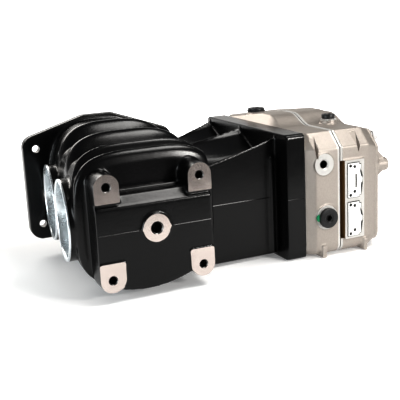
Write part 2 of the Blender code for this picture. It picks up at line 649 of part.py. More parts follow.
def rotor_housing():
    """The painted casting: chamber, inlets, plenum, pad and both flanges in one piece."""
    flange = rounded_box(0, FLANGE_WIDTH, 0, FLANGE_HEIGHT, FLANGE_CORNER, 3)
    housing = extrude("rotor_housing", flange, "X", 0, FLANGE_THICK)
    block = box("block", NECK_LEFT, 2 * MM, BLOCK_NEAR, BLOCK_FAR, BLOCK_BOTTOM, NECK_EDGE - 4 * MM)
    outlet = extrude("outlet", outlet_outline(), "Y", OUTLET_FACE_Y - OUTLET_THICK, OUTLET_FACE_Y)
    join(housing, block, neck(), drum_outside(), outlet, *pad_pieces(), inlet_tube(-1), inlet_tube(1))

    recess = rounded_box(
        MIDDLE_Y - PLATE_HALF_Y, MIDDLE_Y + PLATE_HALF_Y,
        SHAFT_HEIGHT - PLATE_HALF_Z, SHAFT_HEIGHT + PLATE_HALF_Z, PLATE_CORNER,
    )
    cutters = [extrude("recess", recess, "X", PLATE_LEFT - FIT, FLANGE_THICK + 5 * MM)]
    for y in SHAFT_PLACES.values():
        bore_end = PLATE_LEFT + 2 * MM
        bore = cylinder("bore", "X", y, SHAFT_HEIGHT, CHAMBER_RADIUS, CHAMBER_LEFT, bore_end, CHAMBER_SIDES)
        cutters.append(bore)
    window = rounded_box(
        OUTLET_X - WINDOW_HALF_WIDTH, OUTLET_X + WINDOW_HALF_WIDTH, WINDOW_BOTTOM, WINDOW_TOP, WINDOW_CORNER
    )
    cutters.append(extrude("window", window, "Y", BLOCK_FAR + 3 * MM, OUTLET_FACE_Y + 5 * MM))
    cutters.append(plenum_cutter())
    half_port = SHAFT_SPACING * 0.42
    wide_end = NECK_LEFT + 7 * MM
    port = [(DRUM_X - 5 * MM, MIDDLE_Y), (wide_end, MIDDLE_Y - half_port), (wide_end, MIDDLE_Y + half_port)]
    cutters.append(extrude("outlet_port", port, "Z", SHAFT_HEIGHT + PITCH_RADIUS, PLENUM_FLOOR + 6 * MM))
    cut(housing, *cutters)

    throats = []
    for side, y in ((-1, DRIVE_Y), (1, DRIVEN_Y)):
        centre = inlet_centre(side)
        wall_left = CHAMBER_LEFT - INLET_WALL
        throats.append(
            cylinder("throat", "X", centre.y, centre.z, THROAT_RADIUS, INLET_FACE_X - 20 * MM, wall_left, FINE)
        )
        seat = cylinder("seat", "X", 0, 0, THROAT_RADIUS + SLEEVE_WALL + FIT, -10 * MM, SLEEVE_DEPTH + FIT, FINE)
        throats.append(tilt_to_inlet(seat, side))
        throats.append(inlet_port(y, side))
    cut(housing, *throats)

    hubs = []
    for y in SHAFT_PLACES.values():
        start = CHAMBER_LEFT - INLET_WALL - TAIL_HUB_REACH
        radius = TAIL_BEARING_RADIUS + TAIL_HUB_WALL
        hubs.append(cylinder("hub", "X", y, SHAFT_HEIGHT, radius, start, CHAMBER_LEFT - 2 * MM))
    join(housing, *hubs)

    holes = pad_holes()
    for y in SHAFT_PLACES.values():
        start = CHAMBER_LEFT - TAIL_BEARING_LENGTH - 4 * MM
        radius = TAIL_BEARING_RADIUS + FIT
        holes.append(cylinder("tail_bore", "X", y, SHAFT_HEIGHT, radius, start, CHAMBER_LEFT + 2 * MM))
    for side in (-1, 1):
        for z in (OUTLET_HOLE_LOW, OUTLET_HOLE_HIGH):
            x = OUTLET_X + side * OUTLET_HOLE_SPREAD / 2
            start = OUTLET_FACE_Y - OUTLET_THICK - 10 * MM
            end = OUTLET_FACE_Y + 5 * MM
            holes.append(cylinder("outlet_hole", "Y", x, z, OUTLET_HOLE_RADIUS, start, end, SMALL))
    end = FLANGE_THICK + 5 * MM
    for y, z in CASE_BOLTS:
        start = FLANGE_THICK - CASE_BOLT_GRIP - 2 * MM
        holes.append(cylinder("bolt_hole", "X", y, z, CASE_BOLT_RADIUS + FIT, start, end, SMALL))
    for y, z in DOWELS:
        start = FLANGE_THICK - DOWEL_LENGTH / 2 - FIT
        holes.append(cylinder("dowel_hole", "X", y, z, DOWEL_RADIUS + FIT, start, end, SMALL))
    for y, z in plate_screws():
        start = PLATE_LEFT - PLATE_SCREW_GRIP - 2 * MM
        end = PLATE_LEFT + 5 * MM
        holes.append(cylinder("screw_hole", "X", y, z, PLATE_SCREW_RADIUS + FIT, start, end, SMALL))
    return cut(housing, *holes)


def inlet_sleeve(name, side):
    """A turned and polished ring that lines a mouth and stands on its face with a thin lip."""
    inner = THROAT_RADIUS
    outer = THROAT_RADIUS + SLEEVE_WALL
    section = [
        (-SLEEVE_LIP - FIT, inner + 1 * MM),
        (-SLEEVE_LIP - FIT + 1 * MM, inner),
        (SLEEVE_DEPTH, inner),
        (SLEEVE_DEPTH, outer),
        (-FIT, outer),
        (-FIT, TUBE_RADIUS),
        (-SLEEVE_LIP - FIT, TUBE_RADIUS),
    ]
    return tilt_to_inlet(turned_ring(name, section, FINE), side)


# ================================================================ bearing plate and rotating parts
def plate_screws():
    for side in (-1, 1):
        for up in (-1, 1):
            y = MIDDLE_Y + side * (PLATE_HALF_Y - PLATE_SCREW_INSET)
            yield y, SHAFT_HEIGHT + up * (PLATE_HALF_Z - PLATE_SCREW_INSET + 2 * MM)


def bearing_plate():
    """The plate that closes the chamber and carries the drive-end bearings and seals."""
    outline = rounded_box(
        MIDDLE_Y - PLATE_HALF_Y + FIT, MIDDLE_Y + PLATE_HALF_Y - FIT,
        SHAFT_HEIGHT - PLATE_HALF_Z + FIT, SHAFT_HEIGHT + PLATE_HALF_Z - FIT, PLATE_CORNER - FIT,
    )
    plate = extrude("bearing_plate", outline, "X", PLATE_LEFT, FLANGE_THICK)
    cutters = []
    for y in SHAFT_PLACES.values():
        seat_left = FLANGE_THICK - BEARING_WIDTH - 2 * FIT
        cutters.append(
            cylinder("bearing_bore", "X", y, SHAFT_HEIGHT, BEARING_RADIUS + FIT, seat_left, FLANGE_THICK + 5 * MM)
        )
        cutters.append(
            cylinder("seal_bore", "X", y, SHAFT_HEIGHT, SEAL_RADIUS + FIT, PLATE_LEFT - 5 * MM, seat_left + 1 * MM)
        )
    for y, z in plate_screws():
        head = FLANGE_THICK - PLATE_SCREW_HEAD - 2 * FIT
        cutters.append(
            cylinder("head_bore", "X", y, z, PLATE_SCREW_HEAD_RADIUS + FIT, head, FLANGE_THICK + 5 * MM, SMALL)
        )
        cutters.append(
            cylinder("screw_bore", "X", y, z, PLATE_SCREW_RADIUS + FIT, PLATE_LEFT - 5 * MM, head + 1 * MM, 12)
        )
    return cut(plate, *cutters)


def rotor_profile():
    """Cycloid lobes and hollows on the pitch circle, with the running clearance taken off all round."""
    points = []
    lobe_angle = math.pi / LOBES
    big_r = PITCH_RADIUS
    small_r = ROLL_RADIUS
    for lobe in range(LOBES):
        start = lobe * 2 * lobe_angle - lobe_angle / 2
        for i in range(LOBE_POINTS):
            t = lobe_angle * i / LOBE_POINTS
            y = (big_r + small_r) * math.cos(t) - small_r * math.cos((big_r + small_r) / small_r * t)
            z = (big_r + small_r) * math.sin(t) - small_r * math.sin((big_r + small_r) / small_r * t)
            points.append(Matrix.Rotation(start, 2) @ Vector((y, z)))
        for i in range(LOBE_POINTS):
            t = lobe_angle * i / LOBE_POINTS
            y = (big_r - small_r) * math.cos(t) + small_r * math.cos((big_r - small_r) / small_r * t)
            z = (big_r - small_r) * math.sin(t) - small_r * math.sin((big_r - small_r) / small_r * t)
            points.append(Matrix.Rotation(start + lobe_angle, 2) @ Vector((y, z)))
    inset = []
    count = len(points)
    for i, point in enumerate(points):
        run = points[(i + 1) % count] - points[i - 1]
        inward = Vector((-run.y, run.x)).normalized()
        inset.append(point + inward * RUN)
    return inset


def rotor(name, hand):
    profile = rotor_profile()
    rings = []
    for i in range(ROTOR_STEPS + 1):
        share = i / ROTOR_STEPS
        turn = Matrix.Rotation(hand * ROTOR_TWIST * share, 2)
        x = ROTOR_LEFT + ROTOR_LENGTH * share
        rings.append([along("X", *(turn @ point), x) for point in profile])
    solid = loft(name, rings, 40)
    bore = cylinder("bore", "X", 0, 0, SHAFT_RADIUS + FIT, ROTOR_LEFT - 5 * MM, ROTOR_RIGHT + 5 * MM)
    return cut(solid, bore)


def shaft_ends():
    """Left end of a shaft, its shoulder by the rotor, and the right end of its gear."""
    tail = CHAMBER_LEFT - TAIL_BEARING_LENGTH - 2 * MM
    shoulder = ROTOR_LEFT - END_RUN / 2
    gear_right = GEAR_LEFT + GEAR_WIDTH
    return tail, shoulder, gear_right


def drive_shaft():
    tail, shoulder, gear_right = shaft_ends()
    motor_right = STATOR_LEFT + STATOR_LENGTH
    end = LID_LEFT - 2 * MM
    return turned("drive_shaft", [
        (tail, TAIL_RADIUS - 1 * MM), (tail + 1 * MM, TAIL_RADIUS), (shoulder, TAIL_RADIUS),
        (shoulder, SHAFT_RADIUS), (gear_right, SHAFT_RADIUS), (gear_right, MOTOR_SHAFT_RADIUS),
        (motor_right, MOTOR_SHAFT_RADIUS), (motor_right, NOSE_RADIUS), (end, NOSE_RADIUS),
    ])


def driven_shaft():
    tail, shoulder, gear_right = shaft_ends()
    end = gear_right + FIT + NUT_THICK + 2 * MM
    return turned("driven_shaft", [
        (tail, TAIL_RADIUS - 1 * MM), (tail + 1 * MM, TAIL_RADIUS), (shoulder, TAIL_RADIUS),
        (shoulder, SHAFT_RADIUS), (gear_right, SHAFT_RADIUS), (gear_right, MOTOR_SHAFT_RADIUS),
        (end, MOTOR_SHAFT_RADIUS),
    ])


def gear_outline():
    """Involute teeth about the first tooth's centre line at angle 0."""
    module = 2 * PITCH_RADIUS / GEAR_TEETH
    base = PITCH_RADIUS * math.cos(PRESSURE_ANGLE)
    root = PITCH_RADIUS - 1.25 * module
    tip = PITCH_RADIUS + module
    half_at_pitch = (math.pi * module / 2 - GEAR_BACKLASH / 2) / 2 / PITCH_RADIUS
    inv_pitch = math.tan(PRESSURE_ANGLE) - PRESSURE_ANGLE

    def half_angle(radius):
        pressure = math.acos(min(base / radius, 1))
        return half_at_pitch + inv_pitch - (math.tan(pressure) - pressure)

    radii = [root, PITCH_RADIUS, tip]
    points = []
    for tooth in range(GEAR_TEETH):
        middle = math.tau * tooth / GEAR_TEETH
        for radius in radii:
            angle = middle - half_angle(radius)
            points.append((radius * math.cos(angle), radius * math.sin(angle)))
        for radius in reversed(radii):
            angle = middle + half_angle(radius)
            points.append((radius * math.cos(angle), radius * math.sin(angle)))
    return points


def timing_gear(name, phase):
    outline = [tuple(Matrix.Rotation(phase, 2) @ Vector(point)) for point in gear_outline()]
    gear = extrude(name, outline, "X", GEAR_LEFT, GEAR_LEFT + GEAR_WIDTH)
    bore = cylinder("bore", "X", 0, 0, SHAFT_RADIUS + FIT, GEAR_LEFT - 5 * MM, GEAR_LEFT + GEAR_WIDTH + 5 * MM)
    return cut(gear, bore)


def hex_nut(name, left, bore_radius):
    nut = cylinder(name, "X", 0, 0, NUT_FLATS / 2 / math.cos(math.pi / 6), left, left + NUT_THICK, 6, 0)
    bore = cylinder("bore", "X", 0, 0, bore_radius, left - 5 * MM, left + NUT_THICK + 5 * MM)
    return cut(nut, bore)


def bearing(name, left, width, bore_radius, outer_radius, outer_parent, inner_parent, steel):
    """A sealed ball bearing as its outer race and its shielded inner race."""
    split = outer_radius - BEARING_RACE
    outer = plain_ring(name + "_outer_race", left, left + width, split, outer_radius)
    shield = width * 0.12
    inner = turned_ring(name + "_inner_race", [
        (left, bore_radius), (left + width, bore_radius), (left + width - shield, split - 3 * FIT),
        (left + shield, split - 3 * FIT),
    ])
    place(outer, steel, outer_parent)
    place(inner, steel, inner_parent)


def shaft_seal(name, left, width, lip_radius, outer_radius):
    return turned_ring(name, [
        (left, lip_radius + 2 * MM), (left + width * 0.5, lip_radius), (left + width, lip_radius + 2 * MM),
        (left + width, outer_radius), (left, outer_radius),
    ])


# ================================================================ gear case, motor cover and lid
def case_outline(flare, shrink):
    """Section of the castings: flare 0 matches the drive flange, 1 is full size; shrink draws it in."""
    near = CASE_NEAR * flare + shrink
    far = FLANGE_WIDTH - CASE_NEAR * flare - shrink
    low = CASE_BOTTOM + shrink
    low_top = CASE_LOW_TOP - shrink
    high_top = low_top + (CASE_HIGH_TOP - CASE_LOW_TOP) * flare
    far_top = low_top + (CASE_FAR_TOP - CASE_LOW_TOP) * flare
    chamfer_z = CASE_CHAMFER_Z - shrink
    chamfer_y = CASE_CHAMFER_Y
    corner = 12 * MM
    points = list(arc(near + corner, low + corner, corner, 1.5 * math.pi, math.pi, 4))
    points += [(near, chamfer_z), (near + chamfer_y, low_top)]
    steps = 6
    for i in range(steps + 1):
        share = i / steps
        rise = (1 - math.cos(math.pi * share)) / 2
        y = CASE_STEP_NEAR + (CASE_STEP_FAR - CASE_STEP_NEAR) * share
        points.append((y, low_top + (high_top - low_top) * rise))
    points += [(CASE_CREST_FAR, high_top), (far - CASE_FAR_CHAMFER, far_top), (far, chamfer_z)]
    points += arc(far - corner, low + corner, corner, 0, -0.5 * math.pi, 4)
    return points[::-1]


def case_body(name, stations):
    return loft(name, [[along("X", y, z, x) for y, z in case_outline(f, s)] for x, f, s in stations])


def top_height(y):
    """Top of the full-size castings at y: low by the pad, a step up, then a slope to the far side."""
    share = min(max((y - CASE_STEP_NEAR) / (CASE_STEP_FAR - CASE_STEP_NEAR), 0), 1)
    if y > CASE_CREST_FAR:
        slope_end = FLANGE_WIDTH - CASE_NEAR - CASE_FAR_CHAMFER
        fall = (y - CASE_CREST_FAR) / (slope_end - CASE_CREST_FAR)
        return CASE_HIGH_TOP - (CASE_HIGH_TOP - CASE_FAR_TOP) * fall
    return CASE_LOW_TOP + (CASE_HIGH_TOP - CASE_LOW_TOP) * (1 - math.cos(math.pi * share)) / 2


def feet(x):
    """Thin fins under both long edges of a casting, which the unit stands on."""
    near = CASE_NEAR - FOOT_OUT
    left = x - FOOT_WIDTH / 2
    top = CASE_BOTTOM + 14 * MM
    for y0 in (near, FLANGE_WIDTH - near - FOOT_LENGTH):
        yield box("foot", left, left + FOOT_WIDTH, y0, y0 + FOOT_LENGTH, 0, top)


def bolt_bores(start, end):
    return [cylinder("bolt_bore", "X", y, z, CASE_BOLT_RADIUS + FIT, start, end, SMALL) for y, z in CASE_BOLTS]


def gear_case():
    """Bare casting that holds the timing gears in oil."""
    flared = CASE_LEFT + CASE_FLARE
    case = case_body("gear_case", [(CASE_LEFT, 0, 0), (flared, 1, 0), (CASE_RIGHT, 1, 0)])
    seat_y = CASE_NEAR - SEAT_PROUD
    boss_top = top_height(CAP_Y) + CAP_BOSS_HEIGHT
    join(
        case,
        cylinder("port_seat", "Y", PORT_X, PORT_Z, PORT_SEAT_RADIUS, seat_y, CASE_NEAR + 5 * MM),
        cylinder("plug_seat", "Y", PLUG_X, PLUG_Z, PLUG_SEAT_RADIUS, seat_y, CASE_NEAR + 5 * MM),
        cylinder("cap_boss", "Z", CAP_X, CAP_Y, CAP_BOSS_RADIUS, SHAFT_HEIGHT + TIP_RADIUS, boss_top),
        *feet(CASE_FOOT_X),
    )
    module = 2 * PITCH_RADIUS / GEAR_TEETH
    gear_room = PITCH_RADIUS + module + GEAR_ROOM_MARGIN
    room = rounded_box(
        DRIVE_Y - gear_room, DRIVEN_Y + gear_room, SHAFT_HEIGHT - gear_room, SHAFT_HEIGHT + gear_room,
        gear_room - 2 * MM, 6,
    )
    cutters = [
        extrude("gear_room", room, "X", CASE_LEFT - 5 * MM, CASE_RIGHT - CASE_WALL),
        cylinder("seal_bore", "X", DRIVE_Y, SHAFT_HEIGHT, SEAL_RADIUS + FIT, CASE_LEFT, CASE_RIGHT + 5 * MM),
        cylinder("port", "Y", PORT_X, PORT_Z, PORT_RADIUS, seat_y - 5 * MM, DRIVE_Y, SMALL),
        cylinder("plug_bore", "Y", PLUG_X, PLUG_Z, PLUG_RADIUS + FIT, seat_y - 5 * MM, DRIVE_Y - 10 * MM),
        cylinder("cap_bore", "Z", CAP_X, CAP_Y, CAP_RADIUS - 2 * MM, SHAFT_HEIGHT, boss_top + 5 * MM),
    ]
    for y, z in DOWELS:
        end = FLANGE_THICK + DOWEL_LENGTH / 2 + FIT
        cutters.append(cylinder("dowel_bore", "X", y, z, DOWEL_RADIUS + FIT, CASE_LEFT - 5 * MM, end, SMALL))
    return cut(case, *cutters, *bolt_bores(CASE_LEFT - 5 * MM, CASE_RIGHT + 5 * MM))


def motor_room(start, end, grow=0.0):
    """The round motor room joined to the square electronics room beside it."""
    radius = MOTOR_ROOM_RADIUS + grow
    room = cylinder("motor_room", "X", DRIVE_Y, SHAFT_HEIGHT, radius, start, end, CHAMBER_SIDES)
    side = extrude("electronics", rounded_box(
        ELECTRONICS_NEAR - grow, ELECTRONICS_FAR + grow, ELECTRONICS_LOW - grow, ELECTRONICS_HIGH + grow, 8 * MM, 3
    ), "X", start, end)
    return join(room, side)


def joint_gasket():
    left = CASE_RIGHT + FIT
    right = left + GASKET_THICK
    gasket = case_body("joint_gasket", [(left, 1, 0.8 * MM), (right, 1, 0.8 * MM)])
    start = left - 5 * MM
    end = right + 5 * MM
    return cut(gasket, slot_cutter(), motor_room(start, end, GASKET_INSET), *bolt_bores(start, end))


def slot_cutter():
    """The deep slot on the pad's side, between the gear case and the connector pad."""
    low = CONNECTOR_LOW + SLOT_MARGIN
    high = CONNECTOR_HIGH + FIT
    near = CASE_NEAR - 10 * MM
    return box("slot", CASE_RIGHT - 2 * FIT, CONNECTOR_LEFT, near, CASE_NEAR + SLOT_DEPTH, low, high)


def motor_cover():
    """Bare casting round the motor and its electronics, with the milled connector pad."""
    waist = COVER_RIGHT - 14 * MM
    cover = case_body("motor_cover", [(COVER_LEFT, 1, 0), (waist, 1, 0), (COVER_RIGHT, 1, COVER_TAPER)])
    pad_face = CASE_NEAR - CONNECTOR_PROUD
    pad_back = CASE_NEAR + 5 * MM
    seat_top = top_height(BREATHER_Y) + BREATHER_SEAT
    seat_radius = 1.3 * BREATHER_COLLAR_RADIUS
    breather_bore = BREATHER_RADIUS + FIT
    join(
        cover,
        box("pad", CONNECTOR_LEFT, CONNECTOR_RIGHT, pad_face, pad_back, CONNECTOR_LOW, CONNECTOR_HIGH),
        cylinder("breather_seat", "Z", BREATHER_X, BREATHER_Y, seat_radius, 150 * MM, seat_top),
        *feet(COVER_FOOT_X),
    )
    return cut(
        cover,
        motor_room(COVER_LEFT - 5 * MM, COVER_RIGHT + 5 * MM),
        slot_cutter(),
        cylinder("breather_bore", "Z", BREATHER_X, BREATHER_Y, breather_bore, SHAFT_HEIGHT, seat_top + 5 * MM),
        *bolt_bores(COVER_LEFT - 5 * MM, COVER_RIGHT + 5 * MM),
    )


def end_lid():
    """Flat lid over motor and electronics; its hub carries the nose bearing and four posts the board."""
    lid = case_body("end_lid", [
        (LID_LEFT, 1, COVER_TAPER), (LID_RIGHT - 2 * MM, 1, COVER_TAPER), (LID_RIGHT, 1, COVER_TAPER + 3 * MM)
    ])
    hub_left = LID_LEFT - NOSE_BEARING_WIDTH - 2 * MM
    extras = [cylinder("hub", "X", DRIVE_Y, SHAFT_HEIGHT, LID_HUB_RADIUS, hub_left, LID_LEFT + 2 * MM)]
    for y, z in LID_LUGS:
        extras.append(cylinder("lug", "X", y, z, LID_LUG_RADIUS, LID_LEFT + 2 * MM, LID_RIGHT + LID_LUG_REACH))
    board_right = BOARD_LEFT + BOARD_THICK
    root = LID_LEFT + 2 * MM
    for y, z in BOARD_POSTS:
        extras.append(cylinder("post", "X", y, z, BOARD_POST_RADIUS, board_right + FIT, root, SMALL))
    join(lid, *extras)
    bore = cylinder(
        "nose_bore", "X", DRIVE_Y, SHAFT_HEIGHT, NOSE_BEARING_RADIUS + FIT, hub_left - 5 * MM, LID_LEFT - 1 * MM
    )
    return cut(lid, bore, *bolt_bores(LID_LEFT - 5 * MM, LID_RIGHT + 5 * MM))


# ================================================================ motor
def stator():
    """Laminated ring with twelve inward teeth."""
    shape = bmesh.new()
    angles_per_tooth = 6
    count = STATOR_TEETH * angles_per_tooth
    loops = {}
    for end, x in (("left", STATOR_LEFT), ("right", STATOR_LEFT + STATOR_LENGTH)):
        outer = []
        inner = []
        for i in range(count):
            part = i % angles_per_tooth
            radius = STATOR_SLOT if part in (2, 3, 4) else STATOR_BORE
            share = (0, 0.22, 0.28, 0.50, 0.72, 0.78)[part]
            angle = math.tau * (i // angles_per_tooth + share) / STATOR_TEETH
            c, s = math.cos(angle), math.sin(angle)
            outer.append(shape.verts.new((x, STATOR_RADIUS * c, STATOR_RADIUS * s)))
            inner.append(shape.verts.new((x, radius * c, radius * s)))
        loops[end] = (outer, inner)
    for i in range(count):
        j = (i + 1) % count
        for a, b in (("outer", 0), ("inner", 1)):
            left = loops["left"][b]
            right = loops["right"][b]
            shape.faces.new((left[i], left[j], right[j], right[i]))
        for outer, inner in loops.values():
            shape.faces.new((outer[i], outer[j], inner[j], inner[i]))
    return finish_mesh("motor_stator", shape, 0)


def winding(name, left, right):
    """The bundle of end turns at one end of the stator."""
    middle = (STATOR_BORE + STATOR_RADIUS) / 2
    half = (STATOR_SLOT - STATOR_BORE) / 2
    bevel = min(half, right - left) * 0.3
    return turned_ring(name, [
        (left, middle - half + bevel), (left + bevel, middle - half), (right - bevel, middle - half),
        (right, middle - half + bevel), (right, middle + half - bevel), (left, middle + half - bevel),
    ])


def control_board():
    left = BOARD_LEFT
    outline = rounded_box(
        DRIVE_Y - MOTOR_ROOM_RADIUS * 0.6, ELECTRONICS_FAR - BOARD_MARGIN,
        SHAFT_HEIGHT - BOARD_DOWN, SHAFT_HEIGHT + BOARD_UP, 4 * MM, 2,
    )
    board = extrude("control_board", outline, "X", left, left + BOARD_THICK)
    clear = LID_HUB_RADIUS + 3 * MM
    return cut(board, cylinder("hole", "X", DRIVE_Y, SHAFT_HEIGHT, clear, left - 5 * MM, left + 10 * MM))


# ================================================================ plugs, plates and fasteners
def socket_plug(name, axis, u, v, seat, outward, radius, collar_radius, collar, thread):
    """A threaded plug with a round collar and a hexagon socket; outward is 1 or -1 along its axis."""
    inner = seat - outward * thread
    joint = seat + outward * (WASHER_THICK + 2 * FIT)
    face = joint + outward * collar
    body = cylinder(name, axis, u, v, collar_radius, min(joint, face), max(joint, face), 18)
    near = joint + outward * 1 * MM
    shank = cylinder("shank", axis, u, v, radius, min(inner, near), max(inner, near), SMALL)
    join(body, shank)
    deep = face - outward * (collar + 3 * MM)
    past = face + outward * 5 * MM
    hexagon = cylinder("socket", axis, u, v, PLUG_SOCKET_RADIUS * 0.9, min(deep, past), max(deep, past), 6, 0)
    return cut(body, hexagon)


def flat_washer(name, axis, u, v, seat, outward, inner, outer):
    low = seat + outward * FIT
    high = low + outward * WASHER_THICK
    washer = cylinder(name, axis, u, v, outer, min(low, high), max(low, high), SMALL)
    hole = cylinder("hole", axis, u, v, inner, min(low, high) - 5 * MM, max(low, high) + 5 * MM, SMALL)
    return cut(washer, hole)


def cap_screw(name, y, z, seat, grip_end, radius, head_radius, head):
    """A socket head screw along X whose head stands on the seat."""
    screw = turned(name, [
        (grip_end, radius), (seat + FIT, radius), (seat + FIT, head_radius), (seat + FIT + head, head_radius),
    ], SMALL)
    depth = seat + FIT + head * 0.45
    cut(screw, cylinder("socket", "X", 0, 0, head_radius * 0.58, depth, seat + head + 5 * MM, 6, 0))
    screw.location = (0, y, z)
    return screw


def connector_plate(name, low, high):
    """A thin milled plate with a stepped edge that closes a connector opening."""
    left = CONNECTOR_LEFT + 4 * MM
    right = CONNECTOR_RIGHT - 4 * MM
    step = 2.5 * MM
    middle = (low + high) / 2
    outline = [
        (left, low), (right - 2 * step, low), (right - 2 * step, low + step), (right - step, low + step),
        (right - step, middle - 2 * step), (right, middle - step), (right, middle + step),
        (right - step, middle + 2 * step), (right - step, high - step), (right - 2 * step, high - step),
        (right - 2 * step, high), (left, high),
    ]
    face = CASE_NEAR - CONNECTOR_PROUD - FIT
    plate = extrude(name, outline, "Y", face - CONNECTOR_PLATE_THICK, face)
    holes = []
    for x, z in ((left + 2 * step, low + step), (left + 2 * step, high - step)):
        holes.append(cylinder("hole", "Y", x, z, 1.1 * MM, face - 10 * MM, face + 5 * MM, 8))
        side_z = z + (step if z < middle else -step)
        side_x = x - 2 * step + 1.6 * MM
        holes.append(cylinder("hole", "Y", side_x, side_z, 1.1 * MM, face - 10 * MM, face + 5 * MM, 8))
    return cut(plate, *holes)


# ================================================================ assembly
def axis_empty(name, y, parent):
    made = bpy.data.objects.new(name, None)
    made.location = (0, y, SHAFT_HEIGHT)
    made.parent = parent
    bpy.context.scene.collection.objects.link(made)
    return made


def set_down(frame):
    """Put the origin under the middle of the unit's box."""
    bpy.context.view_layer.update()
    corners = []
    for piece in bpy.context.scene.objects:
        if piece.type == "MESH":
            corners += [piece.matrix_world @ vertex.co for vertex in piece.data.vertices]
    low = [min(point[i] for point in corners) for i in range(3)]
    high = [max(point[i] for point in corners) for i in range(3)]
    frame.location = (-(low[0] + high[0]) / 2, -(low[1] + high[1]) / 2, -low[2])
    bpy.context.view_layer.update()
    print("set down by", [round(value, 6) for value in frame.location])
    print("box", [round(high[i] - low[i], 6) for i in range(3)])


